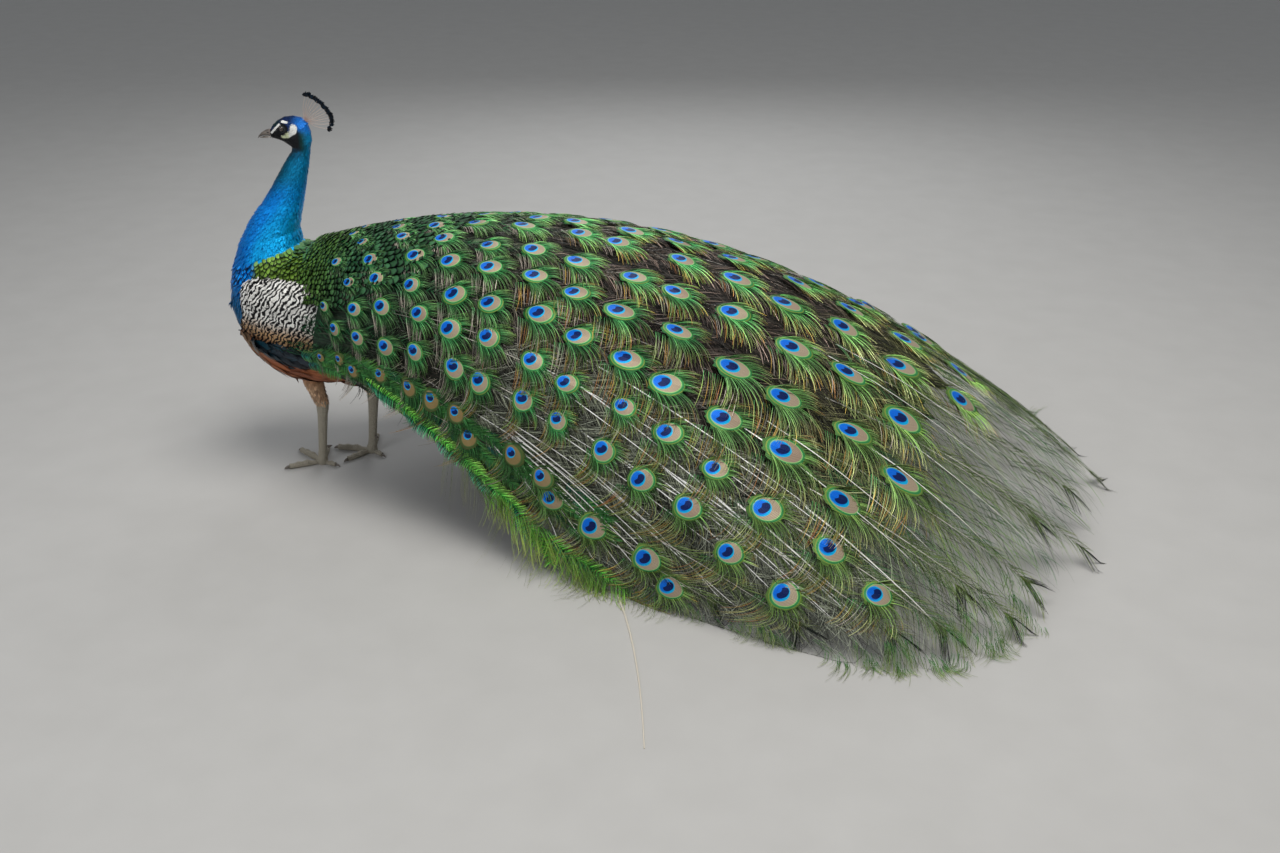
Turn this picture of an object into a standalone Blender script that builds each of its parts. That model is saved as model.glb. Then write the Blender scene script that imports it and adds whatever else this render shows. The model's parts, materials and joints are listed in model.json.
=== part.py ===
"""A life-size peacock, standing still with his long train lowered and half fanned.

Everything is in metres, +Z up. The bird is modelled in his own frame: +X forward to the bill,
+Y to his left, the floor at Z = 0. The one empty at the end moves that frame so that the origin
lies at the middle of the whole model's footprint.
"""
import math

import bmesh
import bpy
from mathutils import Matrix, Vector

# Driving dimensions of the bird.
GAP = 0.0003                       # clear space between two solids that touch in life
CUT_GAP = 0.0012                   # the same, left by a Boolean cut around a neighbour
RING_SIDES = 20                    # sides of a body section
TARSUS_LENGTH = 0.150              # heel to floor
TARSUS_DEPTH = 0.0102              # half the bare shank, front to back
TARSUS_WIDTH = 0.0082              # half the bare shank, side to side
EYE_RADIUS = 0.0066
HEAD_TURN = math.radians(11)       # the head looks a little to his left
TRAIN_REACH = 1.79                 # from the shoulders to the longest tip
TRAIN_TAPER = 0.62                 # how much shorter it gets from the ridge to the sides
TRAIN_TRIM = 0.47                  # how much shorter again the outermost feathers are
TRAIN_SWING = 0.07                 # it lies a little to his right, for each metre backwards
TRAIN_ROOT_HALF = 0.164            # half the width of the train where it leaves the flanks
TRAIN_SPREAD = 0.440               # widening for each metre backwards
ARCH_POWER = 0.92                  # 1 is an elliptical arch, more is more pitched

# Colours of the sub-parts (linear), roughness and metallic share.
BLUE = ((0.004, 0.09, 0.42), 0.38, 0.25)
TEAL = ((0.006, 0.16, 0.22), 0.38, 0.25)
CROWN = ((0.01, 0.06, 0.30), 0.35, 0.3)
BILL = ((0.23, 0.20, 0.17), 0.4, 0.0)
EYE = ((0.02, 0.011, 0.006), 0.08, 0.0)
CREST = ((0.012, 0.02, 0.03), 0.5, 0.1)
BARRED = ((0.42, 0.37, 0.29), 0.6, 0.0)
INK = ((0.004, 0.012, 0.025), 0.35, 0.2)
RUFOUS = ((0.32, 0.10, 0.03), 0.6, 0.0)
BUFF = ((0.34, 0.20, 0.10), 0.7, 0.0)
HORN = ((0.27, 0.21, 0.16), 0.5, 0.0)
CLAW = ((0.06, 0.045, 0.035), 0.35, 0.0)
TRAIN = ((0.03, 0.12, 0.03), 0.45, 0.2)
TRAIN_OUTER = ((0.07, 0.13, 0.02), 0.5, 0.15)
BROWN = ((0.06, 0.035, 0.02), 0.7, 0.0)
QUILL = ((0.62, 0.56, 0.46), 0.45, 0.0)

# Sections of the neck and trunk: front (x, z), back (x, z), half the width.
NECK = [
    ((0.0095, 0.7255), (-0.0345, 0.7350), 0.0195),
    ((0.0350, 0.6880), (-0.0275, 0.7000), 0.0240),
    ((0.0620, 0.6480), (-0.0170, 0.6600), 0.0300),
    ((0.0920, 0.6090), (-0.0060, 0.6220), 0.0370),
    ((0.1240, 0.5690), (0.0060, 0.5880), 0.0470),
    ((0.1520, 0.5240), (0.0140, 0.5600), 0.0600),
    ((0.1720, 0.4750), (0.0130, 0.5260), 0.0770),
]
NECK_SPLIT = 3                     # the section where the upper neck meets the lower one
TRUNK = [
    ((0.1720, 0.4750), (0.0130, 0.5260), 0.0770),
    ((0.1830, 0.4280), (-0.0090, 0.5190), 0.0920),
    ((0.1870, 0.3820), (-0.0430, 0.5270), 0.1040),
    ((0.1780, 0.3280), (-0.0840, 0.5380), 0.1120),
    ((0.1510, 0.2820), (-0.1300, 0.5320), 0.1140),
    ((0.1070, 0.2440), (-0.1770, 0.5290), 0.1110),
    ((0.0520, 0.2240), (-0.2230, 0.5200), 0.1040),
    ((-0.0080, 0.2230), (-0.2630, 0.5070), 0.0930),
    ((-0.0760, 0.2430), (-0.2990, 0.4950), 0.0790),
    ((-0.1450, 0.2820), (-0.3270, 0.4730), 0.0600),
    ((-0.2200, 0.3360), (-0.3470, 0.4460), 0.0350),
    ((-0.2750, 0.3830), (-0.3500, 0.4180), 0.0140),
]
HEAD = [
    ((0.0095, 0.7255), (-0.0345, 0.7350), 0.0195),
    ((0.0055, 0.7345), (-0.0385, 0.7520), 0.0210),
    ((0.0085, 0.7390), (-0.0375, 0.7700), 0.0228),
    ((0.0150, 0.7435), (-0.0320, 0.7885), 0.0240),
    ((0.0215, 0.7480), (-0.0200, 0.7985), 0.0242),
    ((0.0275, 0.7505), (-0.0030, 0.8018), 0.0232),
    ((0.0335, 0.7525), (0.0150, 0.7995), 0.0205),
    ((0.0385, 0.7538), (0.0300, 0.7920), 0.0165),
    ((0.0430, 0.7545), (0.0405, 0.7825), 0.0120),
    ((0.0455, 0.7550), (0.0455, 0.7755), 0.0090),
]
NECK_TOP = Vector((-0.013, 0.0, 0.737))
EYE_CENTRE = Vector((0.0175, 0.0168, 0.7780))


def start_empty():
    """Clear the scene, so that the file can be run again."""
    for thing in list(bpy.data.objects):
        bpy.data.objects.remove(thing, do_unlink=True)


def material(name, finish):
    """One Principled material, found again by its name."""
    found = bpy.data.materials.get(name)
    if found:
        return found
    made = bpy.data.materials.new(name)
    made.use_nodes = True
    shader = made.node_tree.nodes["Principled BSDF"]
    colour, roughness, metallic = finish
    shader.inputs["Base Color"].default_value = (*colour, 1.0)
    shader.inputs["Roughness"].default_value = roughness
    shader.inputs["Metallic"].default_value = metallic
    made.diffuse_color = (*colour, 1.0)
    return made


def finish_object(name, bm, slot, finish):
    """Turn a bmesh into the object of one sub-part, faces out and shaded smooth."""
    bmesh.ops.remove_doubles(bm, verts=bm.verts, dist=1e-6)
    bmesh.ops.recalc_face_normals(bm, faces=bm.faces)
    mesh = bpy.data.meshes.new(name)
    bm.to_mesh(mesh)
    bm.free()
    mesh.shade_smooth()
    mesh.set_sharp_from_angle(angle=math.radians(50))
    mesh.materials.append(material(slot, finish))
    made = bpy.data.objects.new(name, mesh)
    bpy.context.collection.objects.link(made)
    return made


def loft(name, rings, slot, finish, start_point=None, end_point=None):
    """A closed tube through rings of equal count, its ends flat or drawn to a point."""
    bm = bmesh.new()
    loops = [[bm.verts.new(point) for point in ring] for ring in rings]
    count = len(rings[0])
    for lower, upper in zip(loops, loops[1:]):
        for i in range(count):
            j = (i + 1) % count
            bm.faces.new((lower[i], lower[j], upper[j], upper[i]))
    for loop, point in ((loops[0], start_point), (loops[-1], end_point)):
        if point is None:
            bm.faces.new(loop)
            continue
        tip = bm.verts.new(point)
        for i in range(count):
            bm.faces.new((loop[i], loop[(i + 1) % count], tip))
    return finish_object(name, bm, slot, finish)


def section(front, back, half_width, sides=RING_SIDES):
    """An elliptical body section, from its front and back edges in the middle plane."""
    front, back = Vector((front[0], 0, front[1])), Vector((back[0], 0, back[1]))
    centre, reach = (front + back) / 2, (front - back) / 2
    ring = []
    for i in range(sides):
        turn = 2 * math.pi * i / sides
        ring.append(centre + reach * math.cos(turn) + Vector((0, half_width * math.sin(turn), 0)))
    return ring


def ellipse(centre, along, half_a, half_b, sides=12, upright=Vector((0, 0, 1)), power=2.0):
    """A ring across the direction `along`, half_a sideways and half_b upwards."""
    along = along.normalized()
    side = along.cross(upright).normalized()
    up = side.cross(along).normalized()
    ring = []
    for i in range(sides):
        turn = 2 * math.pi * (i + 0.5) / sides
        c, s = math.cos(turn), math.sin(turn)
        c = math.copysign(abs(c) ** (2 / power), c)
        s = math.copysign(abs(s) ** (2 / power), s)
        ring.append(centre + side * half_a * c + up * half_b * s)
    return ring


def nudge(ring, other, distance):
    """Move a ring towards the next one, to leave a thin gap at a cut."""
    middle = sum(ring, Vector()) / len(ring)
    target = sum(other, Vector()) / len(other)
    step = (target - middle).normalized() * distance
    return [point + step for point in ring]


def with_gaps(rings, first, last):
    """Draw in the end rings by half a gap where a neighbour follows."""
    rings = list(rings)
    if first:
        rings[0] = nudge(rings[0], rings[1], GAP)
    if last:
        rings[-1] = nudge(rings[-1], rings[-2], GAP)
    return rings


def turned(ring, share):
    """Turn a ring about the upright axis of the neck's top by a share of the head's turn."""
    turn = Matrix.Rotation(HEAD_TURN * share, 3, "Z")
    return [turn @ (point - NECK_TOP) + NECK_TOP for point in ring]


def place_head(made):
    """Turn a finished piece of the head with the head."""
    to_axis = Matrix.Translation(-NECK_TOP)
    made.data.transform(to_axis.inverted() @ Matrix.Rotation(HEAD_TURN, 4, "Z") @ to_axis)
    return made


def inflated(made, distance):
    """A hidden copy of a piece before its own cuts, grown a little, to cut a neighbour with."""
    copy = made.copy()
    copy.data = made.data.copy()
    copy.name = "cutter_" + made.name
    copy.modifiers.clear()
    bm = bmesh.new()
    bm.from_mesh(copy.data)
    bm.normal_update()
    for vert in bm.verts:
        vert.co += vert.normal * distance
    bm.to_mesh(copy.data)
    bm.free()
    copy.hide_render = True
    copy.display_type = "WIRE"
    bpy.context.collection.objects.link(copy)
    return copy


def cut(made, *neighbours, distance=CUT_GAP):
    """Cut a piece where its neighbours lie, leaving a thin gap."""
    for other in neighbours:
        cutter = inflated(other, distance)
        boolean = made.modifiers.new("cut_" + other.name, "BOOLEAN")
        boolean.operation = "DIFFERENCE"
        boolean.solver = "EXACT"
        boolean.object = cutter
    return made


# Head, bill, eyes and crest.
def build_head():
    """The head, with sockets for the eyes, and its bill in two halves."""
    rings = with_gaps([section(*station) for station in HEAD], True, False)
    head = place_head(loft("head", rings, "crown_feathers", CROWN))
    for side, name in ((1, "eye_left"), (-1, "eye_right")):
        centre = Vector((EYE_CENTRE.x, side * EYE_CENTRE.y, EYE_CENTRE.z))
        bm = bmesh.new()
        bmesh.ops.create_uvsphere(bm, u_segments=12, v_segments=8, radius=EYE_RADIUS)
        bmesh.ops.transform(bm, matrix=Matrix.Translation(centre), verts=bm.verts)
        eye = place_head(finish_object(name, bm, "eye", EYE))
        cut(head, eye, distance=GAP * 1.4)
    build_bill()
    build_crest()
    return head


def build_bill():
    """Upper and lower mandibles, parted along the gape; the upper one hooks over at its tip."""
    gape = [(0.0465, 0.7605), (0.0560, 0.7600), (0.0650, 0.7588), (0.0712, 0.7568)]
    culmen = [(0.0462, 0.7750), (0.0565, 0.7726), (0.0660, 0.7672), (0.0728, 0.7605)]
    keel = [(0.0465, 0.7555), (0.0560, 0.7545), (0.0640, 0.7545), (0.0695, 0.7550)]
    half = [0.0082, 0.0062, 0.0041, 0.0022]
    upper, lower = [], []
    for i in range(len(gape)):
        share = 1 - i / len(gape)
        low = (gape[i][0], gape[i][1] + GAP)
        high = (gape[i][0] - 0.002 * (1 - share), gape[i][1] - GAP)
        upper.append(section(culmen[i], low, half[i], sides=12))
        lower.append(section(high, keel[i], half[i] * 0.85, sides=12))
    place_head(loft("bill_upper", upper, "bill", BILL, end_point=Vector((0.0768, 0, 0.7528))))
    place_head(loft("bill_lower", lower, "bill", BILL, end_point=Vector((0.0730, 0, 0.7556))))


def build_crest():
    """A fan of bare shafts in the middle plane, each ending in a small spatula of vanes."""
    shafts, thick = 14, 0.0011
    base = Vector((-0.0315, 0, 0.7915))
    first, last = math.radians(95), math.radians(188)
    bm = bmesh.new()
    outline = []
    for i in range(shafts):
        turn = first + (last - first) * i / (shafts - 1)
        along = Vector((math.cos(turn), 0, math.sin(turn)))
        across = Vector((-along.z, 0, along.x))
        length = 0.0570 - 0.002 * math.sin(math.pi * i / (shafts - 1))
        for reach, half in ((0.18, -0.0004), (0.80, -0.0005), (0.90, -0.0024), (1.0, -0.0015),
                            (1.0, 0.0015), (0.90, 0.0024), (0.80, 0.0005), (0.18, 0.0004)):
            outline.append(base + along * reach * length + across * half)
    outline.append(base + Vector((-0.0024, 0, -0.0034)))
    outline.append(base + Vector((0.0010, 0, 0.0030)))
    plate = bm.faces.new([bm.verts.new(point - Vector((0, thick / 2, 0))) for point in outline])
    grown = bmesh.ops.extrude_face_region(bm, geom=[plate])
    moved = [item for item in grown["geom"] if isinstance(item, bmesh.types.BMVert)]
    bmesh.ops.translate(bm, verts=moved, vec=(0, thick, 0))
    place_head(finish_object("crest", bm, "crest", CREST))


# Neck and trunk.
def build_neck_and_trunk():
    """The neck in two lengths and the whole trunk, parted by flat cuts."""
    rings = [section(*station) for station in NECK]
    for i, share in ((0, 1.0), (1, 0.65), (2, 0.3)):
        rings[i] = turned(rings[i], share)
    loft("neck_upper", with_gaps(rings[:NECK_SPLIT + 1], False, True), "blue_feathers", BLUE)
    neck = loft("neck_lower", with_gaps(rings[NECK_SPLIT:], False, True), "blue_feathers", BLUE)
    rings = [section(*station, sides=RING_SIDES + 2) for station in TRUNK]
    end = Vector((-0.325, 0, 0.398))
    return loft("trunk", rings, "body_feathers", TEAL, end_point=end), neck


# Wings: lenses that lean on the trunk, cut to fit it.
WING_COVERTS = [                   # x, middle height, half height, middle y, half thickness
    (0.146, 0.396, 0.028, 0.070, 0.022),
    (0.134, 0.394, 0.052, 0.077, 0.032),
    (0.112, 0.391, 0.070, 0.085, 0.041),
    (0.075, 0.389, 0.084, 0.092, 0.047),
    (0.020, 0.387, 0.090, 0.095, 0.048),
    (-0.045, 0.384, 0.085, 0.093, 0.041),
    (-0.115, 0.379, 0.068, 0.086, 0.032),
    (-0.185, 0.372, 0.044, 0.075, 0.024),
    (-0.235, 0.366, 0.022, 0.068, 0.017),
]
WING_BAND = [
    (0.104, 0.331, 0.007, 0.110, 0.008),
    (0.088, 0.322, 0.015, 0.113, 0.016),
    (0.055, 0.308, 0.021, 0.113, 0.020),
    (0.010, 0.294, 0.023, 0.112, 0.021),
    (-0.045, 0.285, 0.021, 0.107, 0.019),
    (-0.110, 0.284, 0.017, 0.096, 0.016),
    (-0.175, 0.290, 0.012, 0.082, 0.012),
]
WING_PRIMARIES = [
    (0.136, 0.338, 0.010, 0.088, 0.012),
    (0.110, 0.313, 0.024, 0.092, 0.020),
    (0.070, 0.286, 0.034, 0.092, 0.026),
    (0.020, 0.266, 0.036, 0.089, 0.028),
    (-0.040, 0.256, 0.031, 0.083, 0.026),
    (-0.110, 0.257, 0.024, 0.074, 0.022),
    (-0.180, 0.266, 0.017, 0.064, 0.016),
    (-0.240, 0.278, 0.010, 0.055, 0.010),
]
WING_LEAN = math.radians(12)       # the wing's lower edge tucks in under the belly


def wing_lens(name, stations, side, slot, finish, sides=12):
    """A flat pod along the trunk's side, from its stations."""
    rings = []
    for x, height, half_height, y, half_thick in stations:
        lean = WING_LEAN if height > 0.36 else 2.6 * WING_LEAN
        up = Vector((0, side * math.sin(lean), math.cos(lean)))
        out = Vector((0, side * math.cos(lean), -math.sin(lean)))
        centre = Vector((x, side * y, height))
        ring = []
        for i in range(sides):
            turn = 2 * math.pi * i / sides
            ring.append(centre + up * half_height * math.cos(turn) + out * half_thick * math.sin(turn))
        rings.append(ring)
    ends = []
    for near, far in ((0, 1), (-1, -2)):
        x, height, _, y, half_thick = stations[near]
        beyond = math.copysign(half_thick, x - stations[far][0])
        ends.append(Vector((x + beyond, side * (y - 0.004), height)))
    return loft(name, rings, slot, finish, *ends)


def build_wings(trunk, neck):
    """Each wing in three: barred coverts, the dark band under them and rufous primaries."""
    wings = {}
    for side, word in ((1, "left"), (-1, "right")):
        coverts = wing_lens(f"wing_{word}_coverts", WING_COVERTS, side, "barred_feathers", BARRED)
        band = wing_lens(f"wing_{word}_band", WING_BAND, side, "dark_feathers", INK, sides=10)
        primaries = wing_lens(f"wing_{word}_primaries", WING_PRIMARIES, side, "rufous_feathers", RUFOUS)
        cut(coverts, trunk, neck)
        cut(primaries, trunk, coverts)
        cut(band, trunk, coverts, primaries)
        wings[side] = primaries
    return wings


# Legs. Each foot: where it stands, and the headings of its toes from straight ahead.
FEET = {
    "left": (Vector((0.0, 0.045, 0)), Vector((-0.017, 0.046, 0)),
             {"outer": 34, "middle": -30, "inner": -76, "hallux": 166}),
    "right": (Vector((-0.091, -0.034, 0)), Vector((-0.106, -0.038, 0)),
              {"outer": -76, "middle": 2, "inner": 57, "hallux": 150}),
}
TOES = {"outer": (0.062, 0.0074), "middle": (0.070, 0.0078), "inner": (0.054, 0.0072),
        "hallux": (0.024, 0.0060)}  # length without its claw, half width
SOLE_HALF = 0.0136                  # half the width of the pad under the shank
TOE_START = 0.0142                  # the toes start just outside the pad
CLAW_LENGTH = 0.013


def build_thigh(word, side, heel, trunk, wing):
    """The feathered drumstick, from the belly down to the heel."""
    top = Vector((heel.x + 0.030, side * 0.046, 0.262))
    spans = [(0.0, 0.0265, 0.016), (0.30, 0.0250, 0.021), (0.52, 0.0230, 0.0215), (0.72, 0.0208, 0.0185),
             (0.88, 0.0180, 0.0150), (1.0, 0.0150, 0.0130)]
    end = Vector((heel.x, heel.y, TARSUS_LENGTH + 0.004))
    rings = []
    for share, depth, width in spans:
        centre = top.lerp(end, share)
        rings.append(ellipse(centre, Vector((0, 0, -1)), depth, width, 14, Vector((0, 1, 0))))
    thigh = loft(f"leg_{word}_thigh", rings, "buff_feathers", BUFF)
    return cut(thigh, trunk, wing)


def build_shank(word, foot, heel):
    """The bare shank from heel to sole, ending in the flat pad that bears the weight."""
    spans = [(1.0, 1.36, 1.32), (0.965, 1.45, 1.42), (0.92, 1.38, 1.30), (0.84, 1.20, 1.12),
             (0.55, 1.04, 1.00), (0.26, 0.98, 1.00), (0.14, 1.10, 1.15)]
    top = Vector((heel.x, heel.y, TARSUS_LENGTH + 0.004 - GAP))
    rings = []
    for share, depth, width in spans:
        centre = Vector((foot.x, foot.y, 0)).lerp(top, share)
        rings.append(ellipse(centre, Vector((0, 0, -1)), TARSUS_DEPTH * depth, TARSUS_WIDTH * width,
                             12, Vector((0, 1, 0))))
    for height, half in ((0.016, 0.0118), (0.008, SOLE_HALF), (0.0, 0.0122)):
        centre = Vector((foot.x, foot.y, height))
        rings.append(ellipse(centre, Vector((0, 0, -1)), half, half * 0.95, 12, Vector((0, 1, 0))))
    return loft(f"leg_{word}_shank", rings, "leg_scales", HORN)


def toe_ring(centre, heading, half_width, height):
    """A toe's section: round above, flat on the floor below."""
    side = Vector((-heading.y, heading.x, 0))
    ring = []
    for i in range(8):
        turn = 2 * math.pi * (i + 0.5) / 8
        up = max(0.0, height * (0.46 + 0.54 * math.sin(turn)))
        level = 0.0 if math.sin(turn) < -0.7 else up
        ring.append(centre + side * half_width * math.cos(turn) + Vector((0, 0, level)))
    return ring


def build_foot(word, foot, toes):
    """Four toes that lie on the floor, each with a curved claw."""
    for toe, degrees in toes.items():
        length, half = TOES[toe]
        heading = Vector((math.cos(math.radians(degrees)), math.sin(math.radians(degrees)), 0))
        start = foot + heading * TOE_START
        rings = []
        swells = 3 if toe != "hallux" else 2
        steps = 2 * swells
        for i in range(steps + 1):
            share = i / steps
            swell = 1 + 0.09 * math.cos(2 * math.pi * swells * share)
            size = (1 - 0.38 * max(0.0, 1 - share / 0.3) - 0.18 * share ** 2) * swell
            centre = start + heading * length * share
            rings.append(toe_ring(centre, heading, half * size, 2.0 * half * size))
        loft(f"leg_{word}_toe_{toe}", rings, "leg_scales", HORN)
        build_claw(f"leg_{word}_claw_{toe}", start + heading * length, heading, half * 0.52)


def build_claw(name, start, heading, half):
    """A blunt claw that leaves the toe's end level and curves down to the floor."""
    rings = []
    for share, size, height in ((0.0, 1.0, 0.0052), (0.4, 0.86, 0.0050), (0.75, 0.52, 0.0030)):
        centre = start + heading * (GAP + CLAW_LENGTH * share) + Vector((0, 0, height))
        rings.append(ellipse(centre, heading + Vector((0, 0, -0.5 * share)), half * size,
                             half * size * 1.1, 8))
    loft(name, rings, "claw", CLAW, end_point=start + heading * CLAW_LENGTH + Vector((0, 0, 0.0008)))


def build_spur(word, foot, heel, side):
    """The cock's spur, on the inner back of the shank."""
    height = 0.040
    root = foot.lerp(Vector((heel.x, heel.y, TARSUS_LENGTH)), height / TARSUS_LENGTH)
    root.z = height
    along = Vector((-1, -0.45 * side, 0.25)).normalized()
    rings = []
    for share, half in ((0.0114, 0.0042), (0.0165, 0.0031), (0.0205, 0.0018)):
        rings.append(ellipse(root + along * share, along, half, half, 8))
    loft(f"leg_{word}_spur", rings, "claw", HORN, end_point=root + along * 0.0235)


def build_legs(trunk, wings):
    """Both legs, the right one a short step behind."""
    for word, (foot, heel, toes) in FEET.items():
        side = 1 if word == "left" else -1
        build_thigh(word, side, heel, trunk, wings[side])
        build_shank(word, foot, heel)
        build_foot(word, foot, toes)
        build_spur(word, foot, heel, side)


# The train: one arched sheet of feathers from the back to the floor.
TRAIN_RIDGE = (0.552, 0.690, 0.480, 0.006)     # heights that steer the ridge, root to tip
TRAIN_EDGE = (0.290, 0.310, 0.140, 0.000)      # the same for the outermost feathers
LAYERS = {"root": (0.0, 0.30, 0.0040, 0.0110), "middle": (0.30, 0.62, 0.0020, 0.0080),
          "tips": (0.62, 1.0, 0.0, 0.0050)}    # from, to, proud by, thickness
SECTORS = {"ridge": (0.0, 0.34), "side": (0.34, 0.67), "edge": (0.67, 1.0)}
TIP_DEPTH = 0.050                              # how deep the notches between the tips are
FEATHER_ENDS = 6                               # in each sector, along the tips
TRAIN_GRID = {"root": (8, 3), "middle": (8, 3), "tips": (18, 3)}  # steps across, steps along


def bernstein(heights, share):
    """A smooth curve steered by four heights."""
    a, b, c, d = heights
    rest = 1 - share
    return a * rest ** 3 + 3 * b * rest ** 2 * share + 3 * c * rest * share ** 2 + d * share ** 3


def train_reach(lean):
    """How far back a feather reaches; lean runs from 0 at the ridge to 1 at the edge."""
    return TRAIN_REACH - TRAIN_TAPER * lean ** 1.35 - TRAIN_TRIM * lean ** 10


def train_point(share, lean, side):
    """A point of the train's middle sheet: share from root to tip, lean from ridge to edge."""
    turn = lean * math.pi / 2
    root = 0.105 - 0.050 * lean
    back = root + (train_reach(lean) - root) * share
    half = TRAIN_ROOT_HALF + TRAIN_SPREAD * (back - root)
    arch = math.cos(turn) ** ARCH_POWER
    height = bernstein(TRAIN_RIDGE, share) * arch + bernstein(TRAIN_EDGE, share) * (1 - arch)
    return Vector((-back, side * half * math.sin(turn) - TRAIN_SWING * (back - root), height))


def train_normal(share, lean, side):
    """The upward normal of the sheet, by small differences."""
    step = 0.01
    low, high = max(share - step, 0), min(share + step, 1)
    along = train_point(high, lean, side) - train_point(low, lean, side)
    inner, outer = max(lean - step, 0), min(lean + step, 1)
    across = train_point(share, outer, side) - train_point(share, inner, side)
    normal = along.cross(across).normalized()
    return normal if normal.dot(Vector((-0.2, side * lean, 1.2 - lean))) > 0 else -normal


def scallop(lean, first, last):
    """0 between two feather ends and 1 at the middle of one."""
    place = (lean - first) / (last - first) * FEATHER_ENDS
    return math.sqrt(abs(math.sin(math.pi * place)))


def train_block(name, layer, sector, side):
    """One length of one sector: a thin curved plate whose rear edge is a row of feather ends."""
    start, end, proud, thick = LAYERS[layer]
    first, last = SECTORS[sector]
    columns, rows = TRAIN_GRID[layer]
    inset = 0.0012                             # half a gap, as a share of the sheet
    bm = bmesh.new()
    outer, inner = [], []
    for row in range(rows + 1):
        outer.append([])
        inner.append([])
        for column in range(columns + 1):
            lean = first + (last - first) * column / columns
            wave = scallop(lean, first, last)
            low = start + inset if layer != "root" else start
            high = end - inset if layer != "tips" else end + TIP_DEPTH * (wave - 1)
            share = low + (high - low) * row / rows
            lean = min(max(lean, first + inset), last - inset)
            point = train_point(share, lean, side)
            normal = train_normal(share, lean, side)
            above = point + normal * proud
            below = point - normal * (thick - proud)
            above.z, below.z = max(above.z, 0.0022), max(below.z, 0.0)
            outer[-1].append(bm.verts.new(above))
            inner[-1].append(bm.verts.new(below))
    for sheet in (outer, inner):
        for row in range(rows):
            for column in range(columns):
                bm.faces.new((sheet[row][column], sheet[row][column + 1],
                              sheet[row + 1][column + 1], sheet[row + 1][column]))
    rim = [(0, c) for c in range(columns)] + [(r, columns) for r in range(rows)]
    rim += [(rows, c) for c in range(columns, 0, -1)] + [(r, 0) for r in range(rows, 0, -1)]
    for (r0, c0), (r1, c1) in zip(rim, rim[1:] + rim[:1]):
        bm.faces.new((outer[r0][c0], outer[r1][c1], inner[r1][c1], inner[r0][c0]))
    if layer == "tips":
        return finish_object(name, bm, "train_fringe", TRAIN_OUTER)
    return finish_object(name, bm, "train_feathers", TRAIN)


def build_train():
    """The train, three lengths by three sectors on each side."""
    for side, word in ((1, "left"), (-1, "right")):
        for layer in LAYERS:
            for sector in SECTORS:
                train_block(f"train_{word}_{sector}_{layer}", layer, sector, side)


def build_loose_quill():
    """One bare quill that has slipped out of the train and lies on the floor in a bow."""
    start, bend, end = Vector((-0.800, 0.448)), Vector((-0.880, 0.610)), Vector((-0.944, 0.880))
    steps, sides = 9, 8
    rings = []
    for i in range(steps + 1):
        share = i / steps
        radius = 0.0021 - 0.0009 * share
        spot = start * (1 - share) ** 2 + bend * 2 * share * (1 - share) + end * share ** 2
        heading = (bend - start) * (1 - share) + (end - bend) * share
        centre = Vector((spot.x, spot.y, radius * math.cos(math.pi / sides)))
        rings.append(ellipse(centre, Vector((heading.x, heading.y, 0)), radius, radius, sides))
    loft("train_loose_quill", rings, "quill", QUILL)


def build_tail():
    """The true tail: a fan of stiff brown feathers under the train."""
    feathers, thick = 7, 0.005
    bm = bmesh.new()
    rows = []
    for row in range(5):
        share = row / 4
        rows.append([])
        for column in range(2 * feathers + 1):
            across = column / feathers - 1
            trim = 1 - 0.10 * across ** 2 - (0.05 * (1 - abs(math.sin(math.pi * column / 2))) if row == 4 else 0)
            back = 0.358 + 0.39 * share * trim
            half = 0.030 + 0.16 * share
            height = 0.440 - 0.13 * share - 0.10 * across ** 2 * (0.25 + share)
            rows[-1].append(Vector((-back, half * across, height)))
    top = [[bm.verts.new(point) for point in row] for row in rows]
    low = [[bm.verts.new(point - Vector((0, 0, thick))) for point in row] for row in rows]
    last_row, last_column = len(rows) - 1, 2 * feathers
    for sheet in (top, low):
        for r in range(last_row):
            for c in range(last_column):
                bm.faces.new((sheet[r][c], sheet[r][c + 1], sheet[r + 1][c + 1], sheet[r + 1][c]))
    rim = [(0, c) for c in range(last_column)] + [(r, last_column) for r in range(last_row)]
    rim += [(last_row, c) for c in range(last_column, 0, -1)] + [(r, 0) for r in range(last_row, 0, -1)]
    for (r0, c0), (r1, c1) in zip(rim, rim[1:] + rim[:1]):
        bm.faces.new((top[r0][c0], top[r1][c1], low[r1][c1], low[r0][c0]))
    finish_object("tail", bm, "tail_feathers", BROWN)


def centre_on_floor():
    """Hang everything on one empty, so that the origin is under the middle of the model."""
    bpy.context.view_layer.update()
    corners = []
    for made in bpy.data.objects:
        if made.type == "MESH" and not made.hide_render:
            corners += [made.matrix_world @ vert.co for vert in made.data.vertices]
    low = Vector([min(corner[k] for corner in corners) for k in range(3)])
    high = Vector([max(corner[k] for corner in corners) for k in range(3)])
    middle = Vector(((low.x + high.x) / 2, (low.y + high.y) / 2, low.z))
    root = bpy.data.objects.new("peacock", None)
    bpy.context.collection.objects.link(root)
    root.location = -middle
    for made in bpy.data.objects:
        if made.type == "MESH":
            made.parent = root
    bpy.context.view_layer.update()
    print("bird's own frame is moved by", [round(value, 5) for value in root.location])


start_empty()
build_head()
trunk_object, neck_object = build_neck_and_trunk()
wing_objects = build_wings(trunk_object, neck_object)
build_legs(trunk_object, wing_objects)
build_tail()
build_train()
build_loose_quill()
centre_on_floor()
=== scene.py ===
# %% [markdown]
# # A life-size peacock, standing with his train lowered
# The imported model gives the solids: their sizes and places are settled there and never change here.
# This script dresses them. One skin is drawn over everything that is flesh, and feathers are laid
# on the skin and on the sheet of the train, each as a small mesh of its own.

# %% Load the frame
import bmesh
import bpy
import json
import math
import numpy as np
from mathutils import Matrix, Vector, noise
from mathutils.bvhtree import BVHTree


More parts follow.
